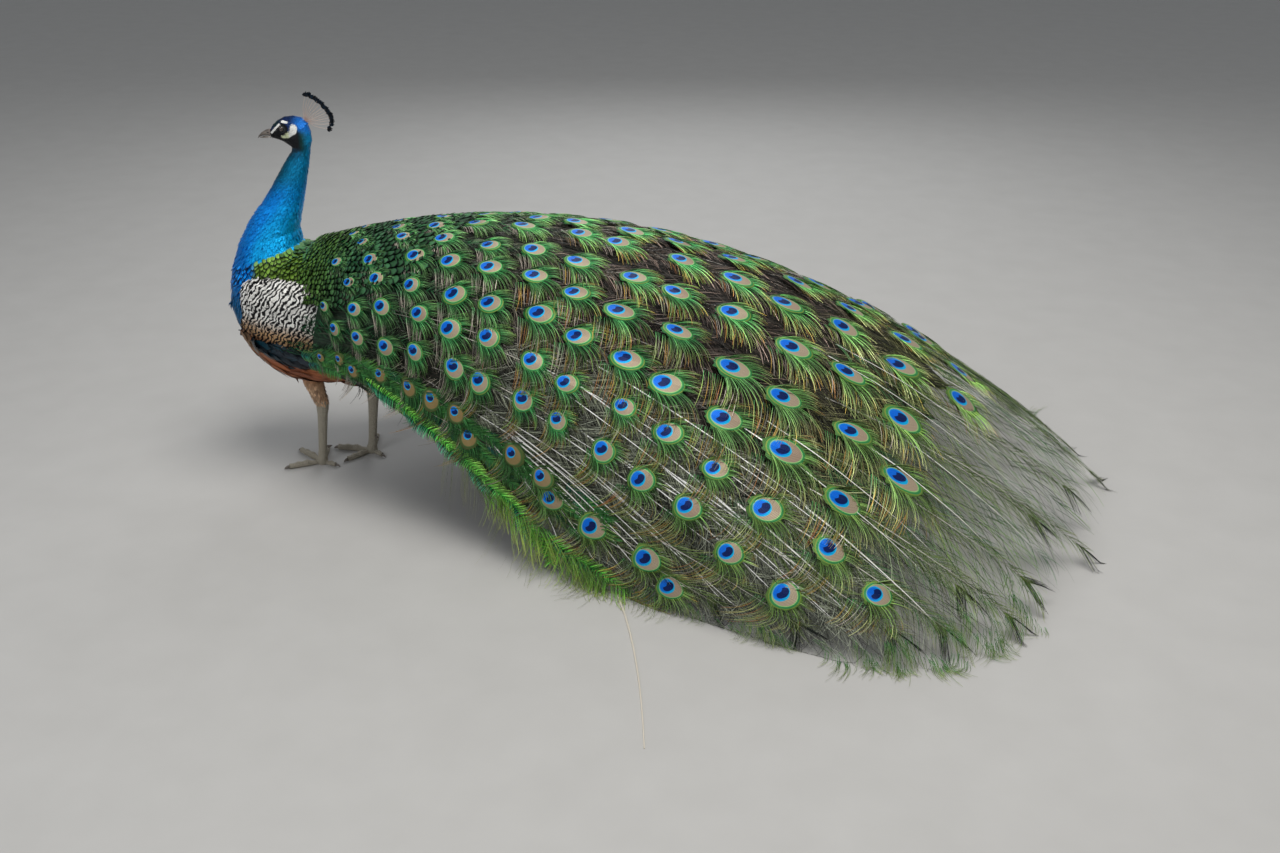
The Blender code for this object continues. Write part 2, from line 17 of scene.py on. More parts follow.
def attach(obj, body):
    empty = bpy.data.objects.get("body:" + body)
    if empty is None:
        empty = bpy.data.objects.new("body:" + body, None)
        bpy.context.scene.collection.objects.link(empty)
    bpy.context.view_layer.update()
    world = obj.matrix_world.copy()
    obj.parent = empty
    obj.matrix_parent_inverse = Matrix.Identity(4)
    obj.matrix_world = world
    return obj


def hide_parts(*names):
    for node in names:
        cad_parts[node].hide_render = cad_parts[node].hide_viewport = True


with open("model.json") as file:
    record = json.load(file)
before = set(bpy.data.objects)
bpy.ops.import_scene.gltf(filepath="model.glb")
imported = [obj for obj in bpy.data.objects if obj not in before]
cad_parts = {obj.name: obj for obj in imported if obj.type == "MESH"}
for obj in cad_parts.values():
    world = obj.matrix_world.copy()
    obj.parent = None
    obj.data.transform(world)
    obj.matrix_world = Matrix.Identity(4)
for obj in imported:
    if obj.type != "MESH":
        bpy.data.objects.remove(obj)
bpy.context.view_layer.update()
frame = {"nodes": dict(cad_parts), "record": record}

# %% [markdown]
# ## Where the bird stands
# It is easiest to think in the bird's own frame: +X towards the bill, +Y to his left, the floor at
# Z = 0. His left foot stands at a known spot of that frame, and the record gives the same spot in
# the frame of the solids, so their difference is the shift between the two.

# %% The shift from the bird's frame
LEFT_FOOT = Vector((0.0, 0.045, 0.0))
sole = Vector(frame["record"]["mounts"][0]["pos_m"])
SHIFT = sole - LEFT_FOOT
SEED = 7
chance = np.random.default_rng(SEED)
uniform = chance.uniform
SIDES = (("left", 1), ("right", -1))
print("the bird's frame is shifted by", [round(v, 4) for v in SHIFT])

# %% [markdown]
# ## The camera
# A person looks down on the bird from behind his left side: 26 degrees below level and 12 degrees
# past square, from a little over three metres. The camera has no roll, so its frame follows from
# the spot it looks at and those two angles.

# %% Camera
LOOK_AT = Vector((-0.686, -0.30028, 0.0))
LOOK_DOWN, LOOK_ROUND = math.radians(26), math.radians(12)
DISTANCE = 3.22154
FOCAL_LENGTH = 36.5625             # for a sensor 36 mm wide
towards_camera = Vector((-math.sin(LOOK_ROUND) * math.cos(LOOK_DOWN),
                         math.cos(LOOK_ROUND) * math.cos(LOOK_DOWN), math.sin(LOOK_DOWN)))
camera = bpy.data.objects.new("camera", bpy.data.cameras.new("camera"))
bpy.context.collection.objects.link(camera)
camera.location = SHIFT + LOOK_AT + towards_camera * DISTANCE
camera.rotation_euler = (-towards_camera).to_track_quat("-Z", "Y").to_euler()
camera.data.sensor_width = 36.0
camera.data.lens = FOCAL_LENGTH
bpy.context.scene.camera = camera
print("the camera is", round(camera.location.z, 2), "m above the floor")

# %% [markdown]
# ## Shader sums written as sums
# A pattern on a feather is a sum of waves, masks and noise. Wiring that by hand hides the idea, so
# one small class wraps a socket of a node tree and turns +, -, *, / and ** into Math
# nodes. A colour never goes through them: it goes through a Mix node, because a Math node is grey.

# %% Wires and finishes
class Wire:
    """One value in a material's node tree, for use in plain arithmetic."""

    def __init__(self, finish, socket):
        self.finish, self.socket = finish, socket

    def sum(self, operation, left, right=None):
        values = {0: left} if right is None else {0: left, 1: right}
        return self.finish.node("ShaderNodeMath", {"operation": operation}, values)

    def __add__(self, other): return self.sum("ADD", self, other)
    def __sub__(self, other): return self.sum("SUBTRACT", self, other)
    def __mul__(self, other): return self.sum("MULTIPLY", self, other)
    def __truediv__(self, other): return self.sum("DIVIDE", self, other)
    def __pow__(self, other): return self.sum("POWER", self, other)

    def sine(self): return self.sum("SINE", self)
    def size(self): return self.sum("ABSOLUTE", self)
    def root(self): return self.sum("SQRT", self)
    def at_least(self, other): return self.sum("MAXIMUM", self, other)

    def step(self, low, high):
        """0 below low, 1 above high and smooth between."""
        values = {"Value": self, "From Min": low, "From Max": high}
        return self.finish.node("ShaderNodeMapRange", {"interpolation_type": "SMOOTHSTEP"}, values)


class Finish:
    """A Principled material, its constants set on the shader and its patterns wired by sums."""

    def __init__(self, name, **constants):
        self.material = bpy.data.materials.new(name)
        self.material.use_nodes = True
        self.tree = self.material.node_tree
        self.shader = self.tree.nodes["Principled BSDF"]
        for socket, value in constants.items():
            self.shader.inputs[socket.replace("_", " ")].default_value = value

    def node(self, kind, settings, values, output=0):
        """Any node: its settings first, then the values or wires of its sockets."""
        made = self.tree.nodes.new(kind)
        for name, value in settings.items():
            setattr(made, name, value)
        for socket, value in values.items():
            if isinstance(value, Wire):
                self.tree.links.new(value.socket, made.inputs[socket])
            else:
                made.inputs[socket].default_value = value
        return Wire(self, made.outputs[output])

    def attribute(self, name, output="Color"):
        return self.node("ShaderNodeAttribute", {"attribute_name": name}, {}, output)

    def parts(self, vector):
        """The three numbers of a vector."""
        first = self.node("ShaderNodeSeparateXYZ", {}, {"Vector": vector})
        node = first.socket.node
        return first, Wire(self, node.outputs[1]), Wire(self, node.outputs[2])

    def place(self):
        return self.node("ShaderNodeTexCoord", {}, {}, "Object")

    def noise(self, scale, vector=None, detail=2.0, roughness=0.5):
        values = {"Vector": vector or self.place(), "Scale": scale, "Detail": detail,
                  "Roughness": roughness}
        return self.node("ShaderNodeTexNoise", {}, values, "Fac")

    def mix(self, share, low, high):
        """A colour between two others."""
        wires = {"Factor": share, 6: low, 7: high}
        for key in (6, 7):
            if not isinstance(wires[key], Wire):
                wires[key] = (*wires[key], 1.0)
        return self.node("ShaderNodeMix", {"data_type": "RGBA"}, wires, 2)

    def darken(self, colour, factor):
        """A colour times a number."""
        return self.node("ShaderNodeVectorMath", {"operation": "SCALE"}, {0: colour, "Scale": factor})

    def bump(self, height, distance, strength=1.0):
        values = {"Height": height, "Distance": distance, "Strength": strength}
        self.paint(Normal=self.node("ShaderNodeBump", {}, values))

    def paint(self, **wires):
        """Feed the shader: Base Color, Roughness, Metallic, Coat Weight, Alpha or Normal."""
        for socket, wire in wires.items():
            self.tree.links.new(wire.socket, self.shader.inputs[socket.replace("_", " ")])


print("wires and finishes are ready")

# %% [markdown]
# ## Meshes from arrays
# The coat holds about a hundred thousand small vanes and barbs. Making each with an operator would
# take minutes, so numpy works out all their points at once and one call hands them to Blender.
# Every vertex carries two attributes: `tint`, its colour, and `vane`, its place on its own feather
# (across from -1 to 1, along from 0 to 1, and one random number for the feather). A UV map named
# OFBake keeps each feather as a tiny patch at its root's place on the unwrapped body.

# %% Helpers that make meshes
PATCH = 0.003                      # side of one feather's patch on the map


def unit(vectors):
    return vectors / np.maximum(np.linalg.norm(vectors, axis=-1, keepdims=True), 1e-9)


def mixed(low, high, share):
    """A colour, or an array of them, between two others."""
    share = np.asarray(share)[..., None]
    return np.asarray(low) * (1 - share) + np.asarray(high) * share


def blend(share, *stops):
    """Colours along 0..1: stops are (place, colour) in rising order."""
    places = [place for place, _ in stops]
    bands = [np.interp(share, places, [colour[k] for _, colour in stops]) for k in range(3)]
    return np.stack(bands, axis=-1)


def between(share, low, high):
    """A smooth step of an array from low to high."""
    share = np.clip((share - low) / (high - low), 0, 1)
    return share * share * (3 - 2 * share)


def grid_faces(count, rows, columns, closed=False):
    """Quads of `count` equal grids of rows x columns vertices."""
    row, column = np.meshgrid(np.arange(rows - 1), np.arange(columns if closed else columns - 1),
                              indexing="ij")
    right = (column + 1) % columns
    one = np.stack([row * columns + column, row * columns + right,
                    (row + 1) * columns + right, (row + 1) * columns + column], -1).reshape(-1, 4)
    return (one[None] + (np.arange(count) * rows * columns)[:, None, None]).reshape(-1, 4)


def read(items, name):
    """Three numbers of each vertex, such as its place or its normal, as rows of an array."""
    values = np.empty(len(items) * 3, np.float32)
    items.foreach_get(name, values)
    return values.reshape(-1, 3).astype(float)


def set_tint(mesh, colours):
    layer = mesh.attributes.new("tint", "FLOAT_COLOR", "POINT")
    rgba = np.ones((len(mesh.vertices), 4), np.float32)
    rgba[:, :3] = np.asarray(colours).reshape(-1, 3)
    layer.data.foreach_set("color", rgba.ravel())


def wear(mesh, finish):
    """Put one finish on a mesh in place of what it had."""
    mesh.materials.clear()
    mesh.materials.append(finish.material)


def make_piece(name, points, faces, finish, tint=None, vane=None, patch=None, solids=()):
    """One object from arrays in the bird's frame. Faces are quads, as rows of four numbers."""
    points = np.asarray(points, float).reshape(-1, 3) + np.array(SHIFT)
    faces = np.asarray(faces).reshape(-1, 4)
    mesh = bpy.data.meshes.new(name)
    mesh.vertices.add(len(points))
    mesh.vertices.foreach_set("co", points.astype(np.float32).ravel())
    mesh.loops.add(faces.size)
    mesh.loops.foreach_set("vertex_index", faces.astype(np.int32).ravel())
    mesh.polygons.add(len(faces))
    mesh.polygons.foreach_set("loop_start", np.arange(0, faces.size, 4, dtype=np.int32))
    mesh.polygons.foreach_set("use_smooth", np.full(len(faces), True))
    mesh.update(calc_edges=True)
    if tint is not None:
        set_tint(mesh, tint)
    if vane is not None:
        layer = mesh.attributes.new("vane", "FLOAT_VECTOR", "POINT")
        layer.data.foreach_set("vector", np.asarray(vane, np.float32).reshape(-1, 3).ravel())
    if patch is not None:
        layer = mesh.uv_layers.new(name="OFBake")
        spots = np.asarray(patch, np.float32).reshape(-1, 2)[faces.ravel()]
        layer.uv.foreach_set("vector", spots.ravel())
    mesh.materials.append(finish.material)
    made = bpy.data.objects.new(name, mesh)
    bpy.context.collection.objects.link(made)
    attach(made, "root")
    if solids:
        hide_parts(*solids)
    print(f"{name}: {len(faces) * 2} triangles")
    return made


def ribbons(paths, half_widths, flats):
    """Flat barbs: paths (n, k, 3), half widths (n, k) and sideways directions (n, k, 3)."""
    count, steps = paths.shape[:2]
    reach = flats * half_widths[..., None]
    points = np.stack([paths - reach, paths + reach], axis=2)
    across = np.broadcast_to(np.array([-1.0, 1.0]), (count, steps, 2))
    along = np.broadcast_to(np.linspace(0, 1, steps)[None, :, None], (count, steps, 2))
    return points.reshape(-1, 3), grid_faces(count, steps, 2), across, along


def patches(roots, across, along):
    """OFBake places: each feather's own -1..1 by 0..1 in a small square at its root's spot."""
    u = roots[:, 0].reshape(-1, *[1] * (across.ndim - 1)) + across * PATCH / 2
    v = roots[:, 1].reshape(-1, *[1] * (across.ndim - 1)) + (along - 0.5) * PATCH
    return np.stack(np.broadcast_arrays(u, v), axis=-1)


print("each feather's patch is", PATCH, "of the map across")

# %% [markdown]
# ## The sheet that the train follows
# The train is about two hundred long feathers that rest on one another. Together they lie on one
# arched sheet, from the back down to the floor. A place on it is two numbers: `share` runs from
# the root to the tips, and `lean` from his right edge (-1) over the ridge (0) to his left edge (1).
# The formulas are those of the solids, so what is laid on the sheet fits them.

# %% The sheet's shape
TRAIN_REACH, TRAIN_TAPER, TRAIN_TRIM = 1.79, 0.62, 0.47
TRAIN_ROOT_HALF, TRAIN_SPREAD, TRAIN_SWING, ARCH_POWER = 0.164, 0.44, 0.07, 0.92
TRAIN_RIDGE = (0.552, 0.69, 0.48, 0.006)
TRAIN_EDGE = (0.29, 0.31, 0.14, 0.0)
FLOOR_CLEARANCE = 0.0012
SHARE_LENGTH = 1.5                 # metres of the sheet for a whole share, nearly


def bernstein(heights, share):
    a, b, c, d = heights
    rest = 1 - share
    return a * rest ** 3 + 3 * b * rest ** 2 * share + 3 * c * rest * share ** 2 + d * share ** 3


def sheet_core(share, lean):
    """Points of the sheet, for share in 0..1 and lean in -1..1."""
    side, lean = np.sign(lean), np.abs(lean)
    turn = lean * math.pi / 2
    root = 0.105 - 0.05 * lean
    reach = TRAIN_REACH - TRAIN_TAPER * lean ** 1.35 - TRAIN_TRIM * lean ** 10
    back = root + (reach - root) * share
    half = TRAIN_ROOT_HALF + TRAIN_SPREAD * (back - root)
    arch = np.cos(turn).clip(0) ** ARCH_POWER
    height = bernstein(TRAIN_RIDGE, share) * arch + bernstein(TRAIN_EDGE, share) * (1 - arch)
    sideways = side * half * np.sin(turn) - TRAIN_SWING * (back - root)
    return np.stack([-back, sideways, height], axis=-1)


def sheet(share, lean, step=0.015):
    """Point, tipward and leftward slopes of the sheet; past its borders it runs straight on."""
    share, lean = np.broadcast_arrays(np.asarray(share, float), np.asarray(lean, float))
    near, inner = share.clip(0, 1), lean.clip(-1, 1)
    last, first = (near + step).clip(0, 1), (near - step).clip(0, 1)
    along = (sheet_core(last, inner) - sheet_core(first, inner)) / (last - first)[..., None]
    left, right = (inner + step).clip(-1, 1), (inner - step).clip(-1, 1)
    across = (sheet_core(near, left) - sheet_core(near, right)) / (left - right)[..., None]
    point = sheet_core(near, inner)
    point = point + along * (share - near)[..., None] + across * (lean - inner)[..., None]
    return point, along, across


def on_train(share, lean, forth=0.0, down=0.0, lift=0.0):
    """Walk on the sheet from a place: `forth` metres tipwards, `down` metres down its slope and
    `lift` metres clear of it. Gives the points and the sheet's normals."""
    _, along, across = sheet(share, lean)
    side = np.where(np.asarray(lean) < 0, -1.0, 1.0)
    stride = np.linalg.norm(along, axis=-1)
    slant = (across * along).sum(-1) / stride ** 2
    width = np.linalg.norm(across - along * slant[..., None], axis=-1)
    step_lean = side * down / width
    point, along, across = sheet(share + forth / stride - step_lean * slant, lean + step_lean)
    normal = unit(np.cross(across, along))
    point = point + normal * np.asarray(lift)[..., None]
    point[..., 2] = np.maximum(point[..., 2], FLOOR_CLEARANCE)
    return point, normal


def crosswise(path, normal):
    """The direction in the sheet across a path that lies on it."""
    return unit(np.cross(normal, unit(np.gradient(path, axis=1))))


def train_patch(share, lean):
    """Places on the unwrapped train: the sheet's own two numbers, in the map's upper half."""
    return np.stack([0.5 + 0.47 * np.clip(lean, -1, 1), 0.52 + 0.46 * np.clip(share, 0, 1)], -1)


print("the train is", round(TRAIN_REACH, 2), "m long on its ridge")

# %% [markdown]
# ## Where the eyes of the train lie
# Each train feather ends in one eye, and the feathers come in columns that fan out from the back.
# Neighbouring columns are half a step apart, so that every eye shows between four others. Eyes
# grow from 2 cm over the shoulders to 8 cm near the tips, and stay smaller along the lower edge.

# %% Lay out the eyes
COLUMNS = 7                        # on each side of the ridge
FIRST_EYE = 0.012
LAST_EYES = (0.86, 0.84, 0.82, 0.8, 0.92, 0.94, 0.93)   # of each column, from the ridge down
EYE_STEP, EYE_STEP_GROWTH = 0.054, 0.033
places = []
for side in (1, -1):
    for column in range(COLUMNS):
        lean = (column + 0.5) / COLUMNS
        share = FIRST_EYE + (column % 2) * EYE_STEP / 2 + 0.02 * lean
        while share < LAST_EYES[column]:
            places.append((share, side * lean))
            share += EYE_STEP + EYE_STEP_GROWTH * share
places = np.array(places)
eye_count = len(places)
eye_share = places[:, 0] + uniform(-0.009, 0.009, eye_count)
eye_lean = places[:, 1] + uniform(-0.02, 0.02, eye_count)
eye_slope = np.abs(eye_lean)
eye_length = (0.02 + 0.064 * eye_share ** 0.6) * (1 - 0.14 * between(eye_share, 0.78, 0.95))
low_eye = between(eye_slope, 0.45, 0.7) * between(eye_share, 0.28, 0.45)
small_edge = between(eye_slope, 0.72, 0.95) * between(eye_share, 0.5, 0.3)
eye_length *= (1 - 0.28 * low_eye) * (1 - 0.15 * small_edge)
eye_length *= uniform(0.92, 1.08, eye_count)
eye_width = eye_length * uniform(0.78, 0.88, eye_count)
eye_width *= 1 - 0.12 * between(eye_share, 0.2, 0.5) + 0.16 * low_eye
LAID_BACK, HANGING = np.array([-1.0, 0.0, -0.16]), np.array([-0.62, 0.0, -0.78])
_, tipwards, leftwards = sheet(eye_share, eye_lean)
tipwards = unit(tipwards)
leftwards = unit(leftwards - tipwards * (leftwards * tipwards).sum(-1, keepdims=True))
hang = (between(eye_slope, 0.5, 0.8) * (1 - between(eye_share, 0.45, 0.7)))[:, None]
wanted = LAID_BACK * (1 - hang) + HANGING * hang
wanted_angle = np.arctan2((wanted * leftwards).sum(-1) * np.sign(eye_lean),
                          (wanted * tipwards).sum(-1))
eye_turn = wanted_angle.clip(-0.65, 0.65) * 0.8 + np.radians(uniform(-12, 12, eye_count))
eye_tilt = uniform(-0.1, 0.1, (eye_count, 2))
eye_level = 0.26 * between(eye_share, 0.15, 0.45) * between(eye_slope, 0.1, 0.4)
eye_tan = between(eye_slope, 0.76, 0.9) * (1 - between(eye_share, 0.5, 0.8))
eye_mood = uniform(0, 1, eye_count)
at_edge = between(eye_slope, 0.74, 0.86) * (1 - between(eye_share, 0.1, 0.22))
barb_size = 1 - 0.85 * at_edge     # by the front edge barbs stay short
print(eye_count, "eyes,", round(eye_length.min() * 1000), "to", round(eye_length.max() * 1000), "mm long")

# %% [markdown]
# ## The eye of a train feather
# From its middle outwards an eye is a violet-black notched pupil, a bright blue oval that sits
# towards the root, a bronze disc, a thin pale ring, a green ring and a last thin line of gold.
# All of it is one pattern over two numbers, `x` towards the tip and `y` across, so it stays sharp
# at any size. The disc is a slightly domed polar grid whose rim is as ragged as the barbs it is
# made of.

# %% Finish of the eyes
VIOLET_BLACK = (0.0006, 0.013, 0.108)
BRIGHT_BLUE = (0.0, 0.16, 0.8)
CYAN = (0.0, 0.48, 0.85)
BRONZE = (0.39, 0.285, 0.205)
PALE_BRONZE = (0.48, 0.39, 0.27)
TAN = (0.3, 0.215, 0.085)
PALE_GREEN = (0.34, 0.66, 0.22)
RING_GREEN = (0.045, 0.29, 0.085)
RING_GOLD = (0.23, 0.33, 0.055)
LEAF_GREEN = (0.018, 0.14, 0.032)
OLIVE = (0.075, 0.095, 0.026)
DARK_BROWN = (0.03, 0.026, 0.016)
BARBS_IN_EYE = 46.0


def from_middle(x, y):
    return ((x * x) + (y * y)).root()


eye_finish = Finish("train_eye", Roughness=0.4, Metallic=0.2, Specular_IOR_Level=0.2)
x, y, mood = eye_finish.parts(eye_finish.attribute("vane", "Vector"))
tanned, rearward, _ = eye_finish.parts(eye_finish.attribute("tint"))
wobble = (eye_finish.noise(55.0, detail=1.0) - 0.5) * 0.1
disc = from_middle(x, y) + wobble * 0.5
small = tanned * 0.3 + 1.0
blue_x, blue_y = (x + 0.28) * small / 0.53, y * small / 0.62
blue = from_middle(blue_x, blue_y) + wobble
pupil_x, pupil_y = (x + y * 0.3 + 0.19) * small / 0.35, (y - x * 0.1) * small / 0.47
notch = (pupil_y.size() * -1.0 + 0.55).at_least(0.0) * 1.1
pupil = from_middle(pupil_x, pupil_y) + notch * (pupil_x * -1.0).step(0.0, 0.7) + wobble
bronze = eye_finish.mix(mood, BRONZE, PALE_BRONZE)
colour = eye_finish.mix(disc.step(0.82, 0.85), eye_finish.mix(tanned, bronze, TAN), PALE_GREEN)
colour = eye_finish.mix(disc.step(0.88, 0.91), colour, RING_GREEN)
colour = eye_finish.mix(disc.step(1.02, 1.05), colour, RING_GOLD)
rim_green = eye_finish.mix(rearward, LEAF_GREEN, (0.11, 0.22, 0.045))
colour = eye_finish.mix(disc.step(1.08, 1.12), colour, rim_green)
colour = eye_finish.mix(tanned * disc.step(0.8, 0.84) * 0.85, colour, OLIVE)
colour = eye_finish.mix(blue.step(1.1, 1.02), colour, CYAN)
colour = eye_finish.mix((blue + x * 0.35).step(0.95, 0.62), colour, BRIGHT_BLUE)
colour = eye_finish.mix(pupil.step(1.04, 0.92), colour, VIOLET_BLACK)
barb_lines = ((x + y.size() * 0.9) * BARBS_IN_EYE).sine()
colour = eye_finish.darken(colour, barb_lines * 0.1 + 0.92)
eye_finish.paint(Base_Color=colour)
eye_finish.bump(barb_lines, 0.0003, 0.5)
print("the eye's pattern has", len(eye_finish.tree.nodes), "nodes")

# %% The discs of the eyes
EYE_RINGS = (0.0, 0.22, 0.45, 0.66, 0.86, 1.02, 1.22)
EYE_SPOKES = 32
EYE_LIFT, EYE_DOME = 0.0045, 0.0016
EYE_PATCH = 0.011                  # half the side of an eye's patch, which has a pattern to hold


def of_eyes(index):
    """Share, lean, slope, length, width, turn and level of some eyes."""
    known = (eye_share, eye_lean, eye_slope, eye_length, eye_width, eye_turn, eye_level)
    return (values[index] for values in known)


def eye_place(index, x, y):
    """Metres along and down the sheet of a spot of an eye, turned by its own small angle."""
    turn, side = eye_turn[index], np.where(eye_lean[index] < 0, -1.0, 1.0)
    forth, left = x * eye_length[index] / 2, y * eye_width[index] / 2
    down = side * (forth * np.sin(turn) + left * np.cos(turn))
    return forth * np.cos(turn) - left * np.sin(turn), down


def build_eyes(word, chosen):
    """All the discs of one side as one piece."""
    rings = len(EYE_RINGS)
    index = np.repeat(chosen, rings * EYE_SPOKES).reshape(len(chosen), rings, EYE_SPOKES)
    share, lean, _, _, width, _, level = of_eyes(index)
    angle = np.linspace(0, 2 * math.pi, EYE_SPOKES, endpoint=False)[None, None, :]
    ring = np.array(EYE_RINGS)[None, :, None] * np.ones((len(chosen), 1, EYE_SPOKES))
    ring[:, -1] += uniform(-0.11, 0.13, (len(chosen), EYE_SPOKES))
    ring[:, 0] = 0.02
    x, y = ring * np.cos(angle), ring * np.sin(angle)
    forth, down = eye_place(index, x, y)
    tilt = eye_tilt[index, 0] * forth + eye_tilt[index, 1] * down
    tilt += level * (down + width * 0.3)
    lift = EYE_LIFT + EYE_DOME * (1 - ring ** 2) + tilt - 0.0016 * np.maximum(ring - 1, 0) * 5
    points, _ = on_train(share, lean, forth, down, lift)
    rear = between(share, 0.55, 0.85)
    make_piece(f"train_eyes_{word}", points,
               grid_faces(len(chosen), rings, EYE_SPOKES, closed=True), eye_finish,
               tint=np.stack([eye_tan[index], rear, rear], axis=-1),
               vane=np.stack([x, y, eye_mood[index]], -1),
               patch=train_patch(share, lean) + np.stack([y, x], -1) * EYE_PATCH)


eyes_of = {"left": np.where(eye_lean > 0)[0], "right": np.where(eye_lean < 0)[0]}
for word, chosen in eyes_of.items():
    build_eyes(word, chosen)

# %% [markdown]
# ## Loose barbs
# A train feather has no closed vane. From its ivory shaft long barbs lean out at about 40 degrees,
# curve, sag down the slope of the train and end in hooks. They are green by the eye, then olive,
# gold and copper at their ends, and grey-brown further down the shaft. Each barb here is a ribbon
# one to two millimetres wide, walked step by step on the sheet from its shaft.

# %% Barb walker
BARB_STEPS = 6
ALONG_BARB = np.linspace(0, 1, BARB_STEPS)[None, :]
TRAIN_GREEN = (0.03, 0.2, 0.055)
DEEP_GREEN = (0.012, 0.085, 0.03)
YELLOW_GREEN = (0.23, 0.34, 0.07)
GOLD = (0.44, 0.27, 0.06)
COPPER = (0.4, 0.17, 0.06)
PINK_BROWN = (0.24, 0.175, 0.145)
IVORY_PINK = (0.43, 0.37, 0.31)
GREY_GREEN = (0.4, 0.43, 0.33)
STRAW = (0.5, 0.52, 0.22)

barb_finish = Finish("train_barbs", Roughness=0.42, Metallic=0.2, Specular_IOR_Level=0.2)
barb_glint = barb_finish.noise(60.0, detail=2.0) * 0.7 + 0.65
barb_finish.paint(Base_Color=barb_finish.darken(barb_finish.attribute("tint"), barb_glint))


def hands(number):
    """1 for even numbers and -1 for odd ones: barbs take turns on the two sides of a shaft."""
    return np.where(number % 2 == 0, 1.0, -1.0)


def walk_barbs(share, lean, heading, bend, length, lift, width, forth=0.0, down=0.0, swell=0.004):
    """Barbs from their starts on the sheet. Headings turn from the tipward direction, positive
    down the slope, and `bend` is added along the way. Gives paths, half widths and flats."""
    share, lean, heading, bend, length, lift, width, forth, down = (
        np.reshape(each, (-1, 1))
        for each in (share, lean, heading, bend, length, lift, width, forth, down))
    angle = heading + bend * ALONG_BARB ** 1.3
    step = length / (BARB_STEPS - 1)
    forth = forth + np.cumsum(np.cos(angle) * step, 1) - np.cos(angle) * step
    down = down + np.cumsum(np.sin(angle) * step, 1) - np.sin(angle) * step
    arch = swell * np.sin(math.pi * ALONG_BARB)
    lift = lift + arch * (0.4 + 0.6 * chance.random((len(share), 1))) - 0.004 * ALONG_BARB ** 2
    path, normal = on_train(share, lean, forth, down, lift)
    flat = crosswise(path, normal)
    roll = uniform(-0.7, 0.7, (len(share), 1, 1))
    flat = flat * np.cos(roll) + normal * np.sin(roll)
    return path, width * (1.0 - 0.65 * ALONG_BARB ** 2), flat


def barb_piece(name, parts):
    """Join several sets of (path, half width, flat, colour, patch) into one piece."""
    points, faces, tints, spots = [], [], [], []
    start = 0
    for path, half, flat, colour, spot in parts:
        made, quads, across, along = ribbons(path, half, flat)
        points.append(made)
        faces.append(quads + start)
        start += len(made)
        colour = np.broadcast_to(colour, path.shape)
        tints.append(np.repeat(colour[:, :, None, :], 2, axis=2).reshape(-1, 3))
        spots.append(patches(spot, across, along).reshape(-1, 2))
    make_piece(name, np.concatenate(points), np.concatenate(faces), barb_finish,
               tint=np.concatenate(tints), patch=np.concatenate(spots))


def shade(colours, low=0.35, high=1.35, power=1.0, count=None):
    """Give each barb its own brightness, partly its own tone and partly painted light: the darkest
    barbs stand for painted shadow among them, the brightest for painted highlight. `count` is told
    when all barbs share their colours.
    """
    count = count or len(colours)
    return colours * (low + (high - low) * chance.random((count, 1, 1)) ** power)


print("barbs are walked in", BARB_STEPS, "steps")

# %% Barbs around the eyes
HALO_BARBS = 92
SHAFT_BARBS, BARB_SPACING = 88, 0.0058
COMB_BARBS = 18
FILLER_BARBS = 9000
DIM_TEAL = (0.05, 0.12, 0.05)


def halo_barbs(chosen):
    """The fan of barbs that leaves the rim of each eye and hooks over on the lower side."""
    index = np.repeat(chosen, HALO_BARBS)
    count = len(index)
    share, lean, slope, size, wide, turn, level = of_eyes(index)
    spin = np.tile(np.linspace(-158, 158, HALO_BARBS), len(chosen)) + uniform(-3, 3, count)
    around = np.radians(spin)
    forth, down = eye_place(index, 0.98 * np.cos(around), 0.98 * np.sin(around))
    low = down > 0
    turned = np.abs(around) / math.pi
    heading = np.where(low, 1.0, -1.0) * (0.14 + 0.75 * turned) + turn * 0.5
    steep = between(slope, 0.05, 0.5)
    hook = 0.25 + (0.55 + 0.45 * turned) * (0.35 + 0.65 * steep)
    length = size * (0.72 + 0.6 * turned ** 0.8) * uniform(0.7, 1.2, count)
    length = np.where(low, length * 1.12, length * 0.75) * barb_size[index]
    width = (0.00042 + 0.0028 * size) * uniform(0.8, 1.15, count)
    walk = walk_barbs(share, lean, heading, np.where(low, hook, 0.3 + 0.1 * turned), length,
                      EYE_LIFT - 0.0006 + level * (down + wide * 0.3), width, forth, down, 0.003)
    green = blend(share[:, None], (0.0, DEEP_GREEN), (0.25, TRAIN_GREEN), (0.5, TRAIN_GREEN),
                  (0.75, (0.15, 0.27, 0.06)), (1.0, (0.2, 0.3, 0.08)))
    ends = blend(share[:, None], (0.0, DEEP_GREEN), (0.12, (0.06, 0.13, 0.05)), (0.45, YELLOW_GREEN),
                 (0.7, STRAW))
    warm = chance.random((count, 1))[..., None]
    late = share[:, None, None] > 0.35
    ends = np.where((warm < 0.3) & late, GOLD, ends)
    ends = np.where((warm < 0.1) & late, COPPER, ends)
    middle = mixed(green, (0.17, 0.34, 0.11), 0.5)
    colour = mixed(green, middle, between(ALONG_BARB, 0.1, 0.5))
    colour = mixed(colour, ends, between(ALONG_BARB, 0.45, 0.95))
    colour = mixed(colour, mixed(green, OLIVE, 0.3), eye_tan[index][:, None])
    # Painted highlight: barbs near the ridge of the train are brightened up to 2.3 times, as where they
    # catch the light at a grazing angle.
    ridge = 1 + 1.3 * between(0.3 - slope, 0.0, 0.2)[:, None, None]
    return *walk, shade(colour * ridge, 0.18, 2.2, 1.9), train_patch(share, lean)


